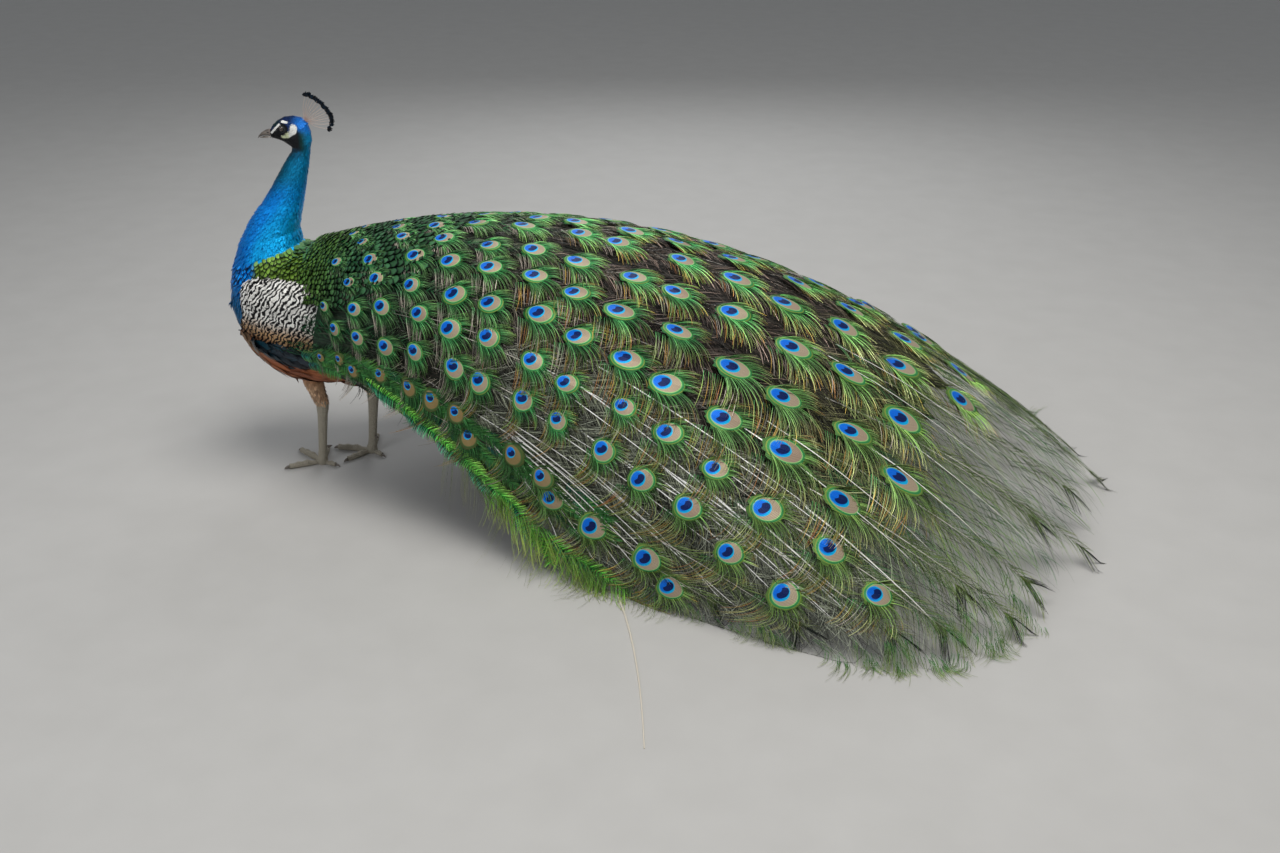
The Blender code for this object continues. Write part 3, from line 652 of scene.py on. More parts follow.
def shaft_barbs(chosen):
    """The barbs below each eye, on both sides of its shaft."""
    index = np.repeat(chosen, SHAFT_BARBS)
    count = len(index)
    share, lean, slope, size, _, turn, _ = of_eyes(index)
    number = np.tile(np.arange(SHAFT_BARBS), len(chosen))
    side = hands(number)
    forth = -size * 0.5 - BARB_SPACING * (number // 2 + uniform(-0.4, 0.4, count))
    forth = np.maximum(forth, -SHARE_LENGTH * (share + 0.02))
    down = np.sin(turn) * forth * np.exp(forth / 0.09)
    heading = side * np.radians(uniform(26, 46, count))
    steep = between(slope, 0.05, 0.5)
    bend = np.where(side > 0, np.radians(uniform(12, 55, count)) * (0.4 + 0.6 * steep),
                    np.radians(uniform(-25, 15, count)))
    bend = bend * (1 - 0.7 * (between(slope, 0.45, 0.7) * between(share, 0.28, 0.42)))
    length = (0.026 + 0.075 * between(share, 0.0, 0.8)) * uniform(0.7, 1.25, count)
    place = share + forth / SHARE_LENGTH
    length *= np.where(place > 0.0, 1.0, 0.15) * barb_size[index]
    sink = between(-forth, 0.01, 0.2)
    lift = 0.002 - 0.0085 * sink + uniform(-0.0015, 0.0015, count)
    width = 0.00072 * uniform(0.75, 1.25, count)
    walk = walk_barbs(share, lean, heading, bend, length, lift, width, forth, down)
    place = place[:, None]
    root = blend(place, (0.2, DEEP_GREEN), (0.35, DARK_BROWN), (0.6, DARK_BROWN), (0.8, OLIVE),
                 (1.0, STRAW))
    ends = blend(place, (0.0, DEEP_GREEN), (0.12, DIM_TEAL), (0.3, PINK_BROWN), (0.58, PINK_BROWN),
                 (0.72, STRAW), (0.9, GREY_GREEN))
    low = between(slope[:, None], 0.45, 0.7) * between(place, 0.25, 0.4)
    root = mixed(root, np.array(GREY_GREEN) * 0.25, low)
    colour = mixed(root, mixed(ends, GREY_GREEN, low), ALONG_BARB)
    # Painted highlight: near the ridge these barbs are brightened up to 1.8 times, as where they catch
    # the light at a grazing angle.
    ridge = 1 + 0.8 * between(0.3 - slope, 0.0, 0.2)[:, None, None]
    return *walk, shade(colour * ridge, 0.05, 2.2, 2.2), train_patch(share, lean)


def filler_barbs(side):
    """Barbs of hidden feathers: ones deep in the gaps, darkened there as painted shade, and long loose
    ones near the tips.
    """
    number = FILLER_BARBS
    share = uniform(0.1, 0.96, number) ** 0.8
    lean = side * uniform(0.0, 0.97, number)
    rear = between(share, 0.55, 0.85)
    heading = np.radians(uniform(-34, 38, number)) + 0.25 * between(np.abs(lean), 0.1, 0.5)
    bend = np.radians(uniform(-20, 40, number))
    length = (0.055 + 0.045 * rear) * uniform(0.7, 1.3, number)
    low = between(np.abs(lean), 0.4, 0.65) * between(share, 0.25, 0.45)
    seen = np.maximum(rear, low)
    lift = -0.0075 + 0.0065 * seen + uniform(-0.0015, 0.003, number)
    width = (0.00085 - 0.00038 * seen) * uniform(0.7, 1.3, number)
    width *= np.where(chance.random(number) < 0.75 * low * (1 - rear), 0.2, 1.0)
    walk = walk_barbs(share - 0.03, lean, heading, bend, length, lift, width)
    place = share[:, None]
    root = blend(place, (0.0, DEEP_GREEN), (0.3, DARK_BROWN), (0.55, DARK_BROWN), (0.75, OLIVE),
                 (0.9, (0.06, 0.16, 0.04)))
    ends = blend(place, (0.0, DEEP_GREEN), (0.3, PINK_BROWN), (0.6, PINK_BROWN), (0.75, STRAW),
                 (0.95, (0.24, 0.38, 0.1)))
    root = mixed(root, np.array(GREY_GREEN) * 0.5, low[:, None])
    colour = mixed(root, mixed(ends, GREY_GREEN, low[:, None]), ALONG_BARB)
    # Painted shade: barbs deep in the gaps keep only 0.28 of their colour, while those near the tips and
    # on the low slope stay brighter.
    colour = colour * (0.28 + 0.72 * rear + 0.2 * low * (1 - rear))[:, None, None]
    return *walk, shade(colour, 0.08, 2.0, 2.0), train_patch(share, lean)


def comb_barbs(chosen):
    """The even comb of long separate barbs that hangs below each eye down the slope."""
    index = np.repeat(chosen, COMB_BARBS)
    count = len(index)
    share, lean, slope, size, wide, turn, level = of_eyes(index)
    number = np.tile(np.arange(COMB_BARBS), len(chosen))
    forth = size * (0.42 - 1.15 * number / COMB_BARBS) + uniform(-0.0012, 0.0012, count)
    down = wide * 0.5 + np.sin(turn) * forth
    steep = between(slope, 0.05, 0.4)
    stray = uniform(-5, 5, count)
    heading = np.radians(58 + 14 * steep - 10 * number / COMB_BARBS + stray)
    bend = np.radians(uniform(0, 26, count))
    length = size * uniform(1.0, 1.5, count) * (0.5 + 0.5 * steep)
    lift = 0.002 + level * 0.02 + uniform(-0.001, 0.001, count)
    width = (0.0003 + 0.0055 * size) * uniform(0.7, 1.2, count)
    walk = walk_barbs(share, lean, heading, bend, length, lift, width, forth, down)
    ends = blend(share[:, None], (0.0, DIM_TEAL), (0.1, IVORY_PINK), (0.4, IVORY_PINK),
                 (0.55, YELLOW_GREEN), (0.75, STRAW))
    warm = chance.random((count, 1, 1))
    late = share[:, None, None] > 0.3
    ends = np.where((warm < 0.35) & late, GOLD, ends)
    ends = np.where((warm > 0.8) & late, IVORY_PINK, ends)
    ends = np.where((warm < 0.1) & late, COPPER, ends)
    colour = mixed(TRAIN_GREEN, ends, between(ALONG_BARB, 0.05, 0.5))
    return *walk, shade(colour, 0.55, 1.7, 1.3), train_patch(share, lean)


for word, side in SIDES:
    chosen = eyes_of[word]
    barb_piece(f"train_halo_barbs_{word}", [halo_barbs(chosen), comb_barbs(chosen)])
    barb_piece(f"train_shaft_barbs_{word}", [shaft_barbs(chosen)])
    barb_piece(f"train_filler_barbs_{word}", [filler_barbs(side)])

# %% Shafts
SHAFT_STEPS = 22
shaft_finish = Finish("train_shafts", Roughness=0.38, Coat_Weight=0.15)
shaft_finish.paint(Base_Color=shaft_finish.attribute("tint"))


def build_shafts(name, chosen):
    """Three-sided tapering quills, one for each eye, sinking under their neighbours rootwards."""
    end, eye, slope = eye_share[chosen][:, None], eye_lean[chosen][:, None], eye_slope[chosen]
    share = np.linspace(0, 1, SHAFT_STEPS)[None, :] * (end - 0.02) + 0.02
    behind = (end - share) * SHARE_LENGTH
    stray = uniform(-0.1, 0.1, (len(chosen), 1))
    lean = np.clip(eye + stray * between(behind, 0.0, 0.9), -0.99, 0.99)
    bare = chance.random(len(chosen)) < 0.35 * between(slope, 0.4, 0.65)
    sinking = np.where(bare, 0.3, 0.05)[:, None]
    path, normal = on_train(share, lean,
                            lift=0.0034 - 0.014 * between(behind, sinking * 0.4, sinking * 1.6))
    flat = crosswise(path, normal)
    half = (0.0007 + 0.0011 * between(behind, 0.0, 0.7))[..., None]
    ring = np.stack([path + flat * half, path + normal * half * 1.1, path - flat * half], axis=2)
    colour = blend(behind, (0.0, (0.1, 0.1, 0.05)), (0.05, (0.62, 0.58, 0.5)),
                   (1.0, (0.74, 0.72, 0.66)))
    colour = mixed(colour, (0.04, 0.06, 0.035), 1 - between(share, 0.1, 0.3))
    along = np.broadcast_to(np.linspace(0, 1, SHAFT_STEPS)[None, :, None], ring.shape[:3])
    across = np.broadcast_to(np.array([-1.0, 0.0, 1.0]), ring.shape[:3])
    make_piece(name, ring, grid_faces(len(chosen), SHAFT_STEPS, 3, closed=True), shaft_finish,
               tint=np.repeat(colour[:, :, None, :], 3, axis=2),
               patch=patches(train_patch(eye_share[chosen], eye_lean[chosen]), across, along))


for word, chosen in eyes_of.items():
    build_shafts(f"train_shafts_{word}", chosen)

# %% [markdown]
# ## What lies under the eyes
# Between the eyes one looks down into a dark tangle of barbs of longer feathers and the shade
# among them. A thin closed sheet stands for both, a centimetre below the eyes: brown-black, partly
# the barbs' own colour and partly painted shade, with fine slanting streaks. Its rear edge is torn,
# and it stops short of the tips, where the floor shows between the barbs.

# %% The under-layer
UNDER_ROWS, UNDER_COLUMNS = 90, 120
UNDER_DEPTH, UNDER_THICKNESS = 0.0105, 0.0014

under_finish = Finish("train_under_layer", Roughness=0.75)
along_under, across_under, _ = under_finish.parts(under_finish.attribute("vane", "Vector"))
streak_place = under_finish.node("ShaderNodeCombineXYZ", {}, {
    0: along_under * 24.0 + across_under * 60.0, 1: along_under * 60.0 - across_under * 220.0})
streaks = under_finish.noise(1.0, streak_place, detail=4.0, roughness=0.65)
under_finish.paint(Base_Color=under_finish.darken(under_finish.attribute("tint"),
                                                  streaks.step(0.35, 0.75) * 2.4 + 0.25))
under_finish.bump(streaks, 0.003, 0.6)


def build_under_layer():
    """Two faces a little apart, joined round the rim."""
    lean = np.linspace(-1.0, 1.0, UNDER_COLUMNS)
    ragged = np.array([noise.noise((place * 23.0, 0.0, 0.0))
                       + 0.5 * noise.noise((place * 61.0, 4.0, 0.0)) for place in lean])
    end = 0.765 + 0.035 * ragged - 0.02 * np.abs(lean) ** 3
    share = np.linspace(0.0, 1.0, UNDER_ROWS)[:, None] * end[None, :]
    lean = np.broadcast_to(lean[None, :], share.shape)
    lump = np.array([noise.noise((s * 14.0, across * 16.0, 3.0))
                     for s, across in zip(share.ravel(), lean.ravel())])
    depth = UNDER_DEPTH + 0.003 * lump.reshape(share.shape)
    sheets = [on_train(share, lean, lift=lift)[0].reshape(-1, 3)
              for lift in (-depth, -depth - UNDER_THICKNESS)]
    one = grid_faces(1, UNDER_ROWS, UNDER_COLUMNS)
    total = UNDER_ROWS * UNDER_COLUMNS
    rim = list(range(UNDER_COLUMNS))
    rim += [row * UNDER_COLUMNS + UNDER_COLUMNS - 1 for row in range(1, UNDER_ROWS)]
    rim += [total - 1 - column for column in range(1, UNDER_COLUMNS)]
    rim += [row * UNDER_COLUMNS for row in range(UNDER_ROWS - 2, 0, -1)]
    edge = [(a, a + total, b + total, b) for a, b in zip(rim, rim[1:] + rim[:1])]
    # Near black: the barbs' own dark brown together with painted shade of the depth under the eyes.
    dark = blend(share, (0.0, (0.01, 0.03, 0.014)), (0.25, (0.016, 0.024, 0.012)),
                 (0.5, (0.016, 0.012, 0.008)), (1.0, (0.03, 0.032, 0.018)))
    vane = np.stack([share, lean, np.zeros_like(share)], -1)
    spots = train_patch(share, lean).reshape(-1, 2)
    plates = [name for name in frame["nodes"]
              if name.startswith("train_") and name != "train_loose_quill"]
    make_piece("train_under_layer", np.concatenate(sheets),
               np.concatenate([one[:, ::-1], one + total, np.array(edge)[:, ::-1]]), under_finish,
               tint=np.tile(dark.reshape(-1, 3), (2, 1)),
               vane=np.tile(vane.reshape(-1, 3), (2, 1)),
               patch=np.concatenate([spots, spots * [1, -1] + [0, 1.02]]), solids=plates)


build_under_layer()

# %% [markdown]
# ## One skin
# Under the feathers lies one skin without seams. Copies of the solids of flesh, from the head to
# the toes and the feather pods of the wings, are joined and remeshed in small cubes, which fuses
# them. The skin is then smoothed and drawn in by the depth of the coat that will lie on it.

# %% Fuse the skin
VOXEL = 0.0019
SKIN_SHRINK = 0.0006
flesh = ["head", "neck_upper", "neck_lower", "trunk"]
for word in ("left", "right"):
    flesh += [f"wing_{word}_{part}" for part in ("coverts", "band", "primaries")]
    flesh += [f"leg_{word}_{part}" for part in ("thigh", "shank")]
    flesh += [f"leg_{word}_toe_{toe}" for toe in ("outer", "middle", "inner", "hallux")]


def fused_copy(name, nodes, voxel, rounds, swell=0.0):
    """A new object: copies of some solids, a little swollen so that neighbours overlap, fused in
    small cubes and smoothed. Gives the object and the mesh before it was fused."""
    joined = bmesh.new()
    for node in nodes:
        one = bmesh.new()
        one.from_mesh(frame["nodes"][node].data)
        bmesh.ops.remove_doubles(one, verts=one.verts, dist=1e-6)
        one.normal_update()
        for vert in one.verts:
            vert.co += vert.normal * swell
        passing = bpy.data.meshes.new("passing")
        one.to_mesh(passing)
        joined.from_mesh(passing)
        bpy.data.meshes.remove(passing)
        one.free()
    coarse = bpy.data.meshes.new(name)
    joined.to_mesh(coarse)
    joined.free()
    made = bpy.data.objects.new(name, coarse)
    bpy.context.collection.objects.link(made)
    fuse = made.modifiers.new("fuse", "REMESH")
    fuse.mode, fuse.voxel_size, fuse.use_smooth_shade = "VOXEL", voxel, True
    soften = made.modifiers.new("soften", "SMOOTH")
    soften.factor, soften.iterations = 0.5, rounds
    evaluated = made.evaluated_get(bpy.context.evaluated_depsgraph_get())
    fine = bpy.data.meshes.new_from_object(evaluated)
    made.modifiers.clear()
    made.data = fine
    return made, coarse


skin, skin_mesh = fused_copy("skin", flesh, VOXEL, 4, SKIN_SHRINK)
fused = skin.data


def refine(mesh, wanted):
    """Split the faces that `wanted` picks by their centres, in the bird's frame."""
    work = bmesh.new()
    work.from_mesh(mesh)
    chosen = [face for face in work.faces if wanted(face.calc_center_median() - SHIFT)]
    edges = {edge for face in chosen for edge in face.edges}
    bmesh.ops.subdivide_edges(work, edges=list(edges), cuts=1, use_grid_fill=True)
    bmesh.ops.triangulate(work, faces=[face for face in work.faces if len(face.verts) > 4])
    work.to_mesh(mesh)
    work.free()


true_shape = BVHTree.FromPolygons([vert.co.copy() for vert in skin_mesh.vertices],
                                  [tuple(face.vertices) for face in skin_mesh.polygons])
refine(fused, lambda spot: spot.z < 0.158 or spot.z > 0.735)
refine(fused, lambda spot: spot.z > 0.752 and abs(spot.y) > 0.004 and spot.x > -0.03)
for vert in fused.vertices:
    if vert.co.z < 0.17 or vert.co.z > 0.735:
        place, _, _, gap = true_shape.find_nearest(vert.co)
        if gap < 0.0012:
            vert.co = place
fused.update()
print("the fused skin has", len(fused.polygons), "faces")

# %% [markdown]
# ## Directions and distances on the body
# Feathers lie from the bill towards the tail. A few points down the middle of the body, its spine,
# give that direction everywhere: each place takes the direction of the nearest stretch, softened
# by its neighbours. The same spine gives an unwrap of the body, the distance along it and the
# angle round it, on which each feather has its patch.

# %% The spine and its unwrap
SPINE = np.array([(0.056, 0.765), (0.03, 0.772), (0.0, 0.773), (-0.014, 0.752), (-0.01, 0.725),
                  (0.004, 0.694), (0.022, 0.654), (0.043, 0.615), (0.065, 0.578), (0.083, 0.542),
                  (0.09, 0.5), (0.08, 0.47), (0.047, 0.433), (-0.035, 0.386), (-0.136, 0.365),
                  (-0.236, 0.378), (-0.325, 0.398)])
SPINE_SOFTNESS = 0.022


def spine_place(points):
    """Share along the spine, its middle there and its softened direction, in the x-z plane."""
    starts, ends = SPINE[:-1], SPINE[1:]
    spans = ends - starts
    lengths = np.linalg.norm(spans, axis=1)
    flat = points[:, [0, 2]][:, None, :]
    t = (((flat - starts) * spans).sum(-1) / lengths ** 2).clip(0, 1)
    feet = starts + spans * t[..., None]
    gap = np.linalg.norm(flat - feet, axis=-1)
    nearest = gap.argmin(1)
    pick = np.arange(len(points))
    travelled = np.concatenate([[0], np.cumsum(lengths)])
    share = (travelled[nearest] + t[pick, nearest] * lengths[nearest]) / travelled[-1]
    weight = np.exp(-((gap - gap.min(1, keepdims=True)) / SPINE_SOFTNESS) ** 2)
    way = (weight[..., None] * (spans / lengths[:, None])).sum(1)
    way = unit(np.stack([way[:, 0], np.zeros(len(way)), way[:, 1]], -1))
    return share, feet[pick, nearest], way


def body_patch(points):
    """Places on the unwrapped body: round it and along it."""
    share, middle, way = spine_place(points)
    across = points[:, 1]
    above = (points[:, 2] - middle[:, 1]) * -way[:, 0] + (points[:, 0] - middle[:, 0]) * way[:, 2]
    around = np.arctan2(across, above) / (2 * math.pi)
    return np.stack([0.5 + 0.96 * around, 0.02 + 0.96 * share], -1)


print("the spine has", len(SPINE), "points")

# %% [markdown]
# ## Markings
# Skin and coat take their colours from the same rules, so that nothing shows when a feather lifts.
# The rules speak of places on the bird: stripes and a patch of bare white skin on the face, a
# black mask, a violet crown, a neck that goes from teal to blue, a green-gold mantle, a dark belly,
# and buff thighs.

# %% Colour rules
WHITE_SKIN = (0.92, 0.92, 0.88)
YELLOW_SKIN = (0.8, 0.84, 0.52)
MASK_BLACK = (0.006, 0.007, 0.009)
CROWN_VIOLET = (0.006, 0.028, 0.13)
NAPE_BLUE = (0.0, 0.17, 0.64)
NAPE_CYAN = (0.0, 0.27, 0.56)
THROAT_TEAL = (0.0, 0.09, 0.12)
SIDE_TEAL = (0.002, 0.06, 0.062)
NECK_BLUE = (0.0, 0.31, 1.0)
COLLAR_CYAN = (0.0, 0.44, 0.96)
BREAST_TEAL = (0.0, 0.12, 0.3)
BELLY_DARK = (0.016, 0.018, 0.018)
MANTLE_GREEN = (0.04, 0.17, 0.06)
MANTLE_GOLD = (0.21, 0.38, 0.055)
BUFF = (0.76, 0.5, 0.3)
HORN_GREY = (0.4, 0.36, 0.28)
VENT_BROWN = (0.06, 0.045, 0.034)
HEAD_TURN = math.radians(11)
NECK_TOP = np.array([-0.013, 0.0, 0.737])
EYE_CENTRE = np.array([0.0175, 0.0168, 0.778])     # of the left eye, on the straight head


def turned(points, angle):
    """Points turned about the upright axis through the top of the neck."""
    c, s = math.cos(angle), math.sin(angle)
    local = np.asarray(points, float).reshape(-1, 3) - NECK_TOP
    return np.stack([c * local[:, 0] - s * local[:, 1], s * local[:, 0] + c * local[:, 1],
                     local[:, 2]], -1) + NECK_TOP


def head_frame(points):
    """Points as they were before the head turned to the left."""
    return turned(points, -HEAD_TURN)


def turn_with_head(points):
    """The other way: put points of the straight head where the turned head has them."""
    return turned(points, HEAD_TURN)


def stroke(points, start, end, half):
    """1 inside a rounded stroke on the side of the head, 0 outside."""
    start, end = np.array(start), np.array(end)
    flat = points[:, [0, 2]] - start
    span = end - start
    t = ((flat * span).sum(1) / (span ** 2).sum()).clip(0, 1)
    gap = np.linalg.norm(flat - span * t[:, None], axis=1)
    return 1 - between(gap, half - 0.0005, half + 0.0005)


def bare_face(points):
    """The shares of bare white skin and of its yellow part, from the straight head."""
    at_side = between(np.abs(points[:, 1]), 0.006, 0.01)
    marks = np.maximum(stroke(points, (0.0425, 0.768), (0.0235, 0.7865), 0.0024),
                       stroke(points, (0.0175, 0.7925), (0.006, 0.7915), 0.0023))
    patch = np.maximum(stroke(points, (-0.0072, 0.7805), (-0.006, 0.7745), 0.0084),
                       stroke(points, (-0.004, 0.7715), (0.006, 0.7655), 0.0062))
    patch = np.maximum(patch, stroke(points, (0.006, 0.7635), (0.017, 0.7618), 0.004))
    yellow = patch * between(points[:, 0], -0.001, 0.006)
    return np.maximum(marks, patch) * at_side, yellow * at_side


def head_colour(points):
    """Colours of the head and throat."""
    straight = head_frame(points)
    x, y, z = straight.T
    colour = mixed(CROWN_VIOLET, NAPE_BLUE, between(-x, -0.006, 0.02))
    forehead = between(x, 0.018, 0.032) * between(z, 0.775, 0.785)
    colour = mixed(colour, (0.004, 0.04, 0.05), forehead)
    low = between(0.7735 - z - 0.25 * (x - 0.01), 0.0, 0.006) * between(x, -0.024, -0.012)
    eye_gap = np.hypot(x - EYE_CENTRE[0], z - EYE_CENTRE[2])
    mask = np.maximum(low, (1 - between(eye_gap, 0.0105, 0.0125)))
    mask = np.maximum(mask, stroke(straight, (0.018, 0.775), (0.045, 0.764), 0.007))
    behind = between(-x, 0.002, 0.012)
    colour = mixed(colour, NAPE_CYAN, between(0.78 - z, 0.0, 0.02) * behind)
    side = between(0.782 - z, 0.0, 0.016) * behind * between(np.abs(y), 0.006, 0.014)
    colour = mixed(colour, SIDE_TEAL, side * between(x, -0.036, -0.02))
    colour = mixed(colour, MASK_BLACK, mask)
    colour = mixed(neck_colour(points), colour, between(z, 0.712, 0.744))
    white, yellow = bare_face(straight)
    colour = mixed(colour, WHITE_SKIN, white)
    return mixed(colour, YELLOW_SKIN, yellow)


def neck_colour(points):
    """Colours of the neck, from the head down to the collar."""
    _, middle, way = spine_place(points)
    x, _, z = points.T
    front = ((x - middle[:, 0]) * -way[:, 2] + (z - middle[:, 1]) * way[:, 0]) / 0.04
    front = between(front, -0.5, 0.9)
    upper = mixed(NAPE_CYAN, THROAT_TEAL, front)
    lower = mixed(COLLAR_CYAN, NECK_BLUE, between(front + (z - 0.53) * 5, 0.1, 0.9))
    lower = mixed(lower, BREAST_TEAL, front * between(0.47 - z, -0.03, 0.08) * 0.8)
    return mixed(upper, lower, between(0.69 - z, 0.0, 0.07))


def trunk_colour(points):
    """Colours of the breast, mantle, belly and vent."""
    x, y, z = points.T
    breast = mixed(NECK_BLUE, BREAST_TEAL, between(0.455 - z, 0.0, 0.06))
    breast = mixed(breast, BELLY_DARK, between(0.385 - z, 0.0, 0.06))
    gold = between(x, -0.075, 0.0) * between(np.abs(y), 0.015, 0.06)
    mantle = mixed(MANTLE_GREEN, MANTLE_GOLD, 0.2 + 0.8 * gold)
    colour = mixed(breast, mantle, between(0.1 - x, 0.0, 0.02) * between(z, 0.43, 0.455))
    belly = between(0.435 - z, 0.0, 0.03) * between(0.135 - x, 0.0, 0.03)
    colour = mixed(colour, BELLY_DARK, belly)
    return mixed(colour, VENT_BROWN, between(-x, 0.1, 0.2) * between(0.44 - z, 0, 0.05))


def covert_colour(points):
    """The light colour of the barred wing feathers, buff below and in front."""
    x, _, z = points.T
    low = between(0.398 - z + 0.22 * (x - 0.05), 0.0, 0.05)
    colour = mixed((0.96, 0.94, 0.89), (0.62, 0.38, 0.19), low)
    front = between(0.352 - z + 0.3 * (x - 0.06), 0.0, 0.03) * between(x, 0.02, 0.09)
    return mixed(colour, (0.3, 0.12, 0.05), front)


def under_collar(points):
    """How far a place lies under the slanting plane where the neck ends, negative above it."""
    x, _, z = points.T
    return -0.305 * (x - 0.172) - 0.952 * (z - 0.475)


def on_wing(points, low, high):
    """1 on the folded wing's barred part, which begins between two heights."""
    _, y, z = points.T
    return between(np.abs(y), 0.086, 0.096) * (1 - between(z, 0.465, 0.48)) * between(z, low, high)


def body_colour(points):
    """The colour of any place of the flesh, by the part that it lies on."""
    x, y, z = points.T
    colour = trunk_colour(points)
    above_collar = 1 - between(under_collar(points), -0.006, 0.006)
    colour = mixed(colour, neck_colour(points), above_collar)
    colour = mixed(colour, head_colour(points), between(z, 0.708, 0.712))
    colour = mixed(colour, covert_colour(points), on_wing(points, 0.28, 0.31))
    rufous = between(np.abs(y), 0.055, 0.075) * between(0.315 - z, 0.0, 0.01)
    rufous = rufous * between(z, 0.215, 0.235) * between(x, -0.2, -0.15)
    colour = mixed(colour, (0.33, 0.1, 0.035), rufous)
    colour = mixed(colour, BUFF, between(0.232 - z, 0.0, 0.01))
    return mixed(colour, HORN_GREY, between(0.168 - z, 0.0, 0.006))


print("colour rules are set for the head, neck, trunk and wings")

# %% Draw the skin in and colour it
COAT_DEPTH = 0.004                # of the feathers on the trunk
NECK_DEPTH = 0.0022
HEAD_DEPTH = 0.0007
FEET = ((0.0, 0.045), (-0.091, -0.034))      # left and right, for the rings of scutes
skin_points = read(fused.vertices, "co") - np.array(SHIFT)
skin_normals = read(fused.vertex_normals, "vector")
height = skin_points[:, 2]
depth = COAT_DEPTH * between(height, 0.158, 0.19)
depth = depth + (NECK_DEPTH - depth) * between(height, 0.5, 0.6)
depth = depth + (HEAD_DEPTH - depth) * between(height, 0.72, 0.745)
white, _ = bare_face(head_frame(skin_points))
depth *= 1 - 0.9 * white * between(height, 0.74, 0.75)
skin_points -= skin_normals * (depth + SKIN_SHRINK)[:, None]
shank_like = (height < 0.156) & (height > 0.02)
scutes = 0.00022 * np.sin(height * 2 * math.pi / 0.0058) * shank_like
from_foot = np.minimum(*[np.hypot(skin_points[:, 0] - x, skin_points[:, 1] - y)
                         for x, y in FEET])
scutes += 0.00026 * np.sin(from_foot * 2 * math.pi / 0.005) * (height < 0.02) * (height > 0.004)
skin_points += skin_normals * scutes[:, None]
skin_points[:, 2] = np.maximum(skin_points[:, 2], 0.0)
fused.vertices.foreach_set("co", (skin_points + np.array(SHIFT)).astype(np.float32).ravel())
set_tint(fused, body_colour(skin_points))
layer = fused.uv_layers.new(name="OFBake")
corners = np.empty(len(fused.loops), np.int32)
fused.loops.foreach_get("vertex_index", corners)
layer.uv.foreach_set("vector", body_patch(skin_points)[corners].astype(np.float32).ravel())
print("the skin is drawn in by up to", COAT_DEPTH * 1000, "mm")

# %% [markdown]
# ## The bars of the wing
# The wing's small feathers are cream with black bars that waver, fork and break. That is a sine
# wave across the lie of the feathers whose place is pushed about by noise, cut off sharply. It is
# read from the place on the bird, so skin and feathers carry the same bars.

# %% Bars and the skin's finish
BAR_LENGTH = 0.0092
BAR_BLACK = (0.005, 0.004, 0.005)


def wing_bars(finish):
    """1 on the black bars, 0 on the cream between them."""
    place = finish.place()
    x, _, z = finish.parts(place)
    push = finish.noise(62.0, place, detail=2.0, roughness=0.6)
    shift = finish.noise(24.0, place, detail=1.0)
    across = x * 0.82 + z * 0.57 + (push - 0.5) * 0.024 + (shift - 0.5) * 0.016
    wave = (across * (2 * math.pi / BAR_LENGTH)).sine()
    breaks = finish.noise(110.0, place, detail=1.0)
    return (wave + (breaks - 0.5) * 1.6).step(0.0, 0.12)


skin_finish = Finish("skin", Roughness=0.62)
height_wire = skin_finish.parts(skin_finish.place())[2]
wing_mask = skin_finish.attribute("barred", "Fac")
skin_grain = skin_finish.noise(420.0, detail=3.0)
skin_colour = skin_finish.mix(wing_bars(skin_finish) * wing_mask, skin_finish.attribute("tint"),
                              BAR_BLACK)
scaly = height_wire.step(0.165, 0.155)
plates = skin_finish.node("ShaderNodeTexVoronoi", {"feature": "DISTANCE_TO_EDGE"},
                          {"Vector": skin_finish.place(), "Scale": 330.0})
seams = plates.step(0.0, 0.12)
skin_colour = skin_finish.darken(skin_colour, (skin_grain * 0.5 + 0.75) * (seams * 0.35 + 0.65))
skin_finish.paint(Base_Color=skin_colour)
skin_finish.bump(seams * scaly + skin_grain * 0.5, 0.0006, 0.6)
layer = fused.attributes.new("barred", "FLOAT", "POINT")
layer.data.foreach_set("value", on_wing(skin_points, 0.3, 0.32).astype(np.float32))
wear(fused, skin_finish)
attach(skin, "root")
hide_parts(*flesh)
print("skin:", len(fused.polygons) * 2, "triangles")

# %% [markdown]
# ## Where feathers grow
# Roots are scattered over the outside of each solid, thinned until no two are closer than the
# spacing of that part, and dropped onto the skin. What lies inside a neighbour is left out.

# %% Scatter roots
skin_tree = BVHTree.FromPolygons([Vector(point) for point in skin_points],
                                 [tuple(face.vertices) for face in fused.polygons])


def scatter(names, spacing, keep=None, tries=5.0):
    """Roots on the named solids, at least `spacing` apart, with the skin's place and normal."""
    spots = []
    for name in names:
        mesh = frame["nodes"][name].data
        mesh.calc_loop_triangles()
        corners = np.array([triangle.vertices[:] for triangle in mesh.loop_triangles])
        verts = read(mesh.vertices, "co") - np.array(SHIFT)
        a, b, c = (verts[corners[:, k]] for k in range(3))
        area = np.linalg.norm(np.cross(b - a, c - a), axis=1) / 2
        number = int(area.sum() / spacing ** 2 * tries)
        chosen = chance.choice(len(area), number, p=area / area.sum())
        u, v = chance.random((2, number))
        fold = u + v > 1
        u, v = np.where(fold, 1 - u, u), np.where(fold, 1 - v, v)
        spots.append(a[chosen] + (b - a)[chosen] * u[:, None] + (c - a)[chosen] * v[:, None])
    spots = np.concatenate(spots)
    if keep is not None:
        spots = spots[keep(spots)]
    taken, roots, normals, tops = {}, [], [], []
    steps = [(i, j, k) for i in (-1, 0, 1) for j in (-1, 0, 1) for k in (-1, 0, 1)]
    for spot, key in zip(spots, np.floor(spots / spacing).astype(int)):
        key = tuple(key)
        near = [taken.get((key[0] + i, key[1] + j, key[2] + k)) for i, j, k in steps]
        near = [other for other in near if other is not None]
        if any(np.dot(other - spot, other - spot) < spacing ** 2 for other in near):
            continue
        taken[key] = spot
        place, normal, _, gap = skin_tree.find_nearest(Vector(spot))
        if (Vector(spot) - place).dot(normal) < -0.0002 or gap > 0.012:
            continue
        roots.append(place[:])
        normals.append(normal[:])
        tops.append(spot)
    return np.array(roots), np.array(normals), np.array(tops)


print("roots are dropped onto", len(fused.polygons), "faces of the skin")

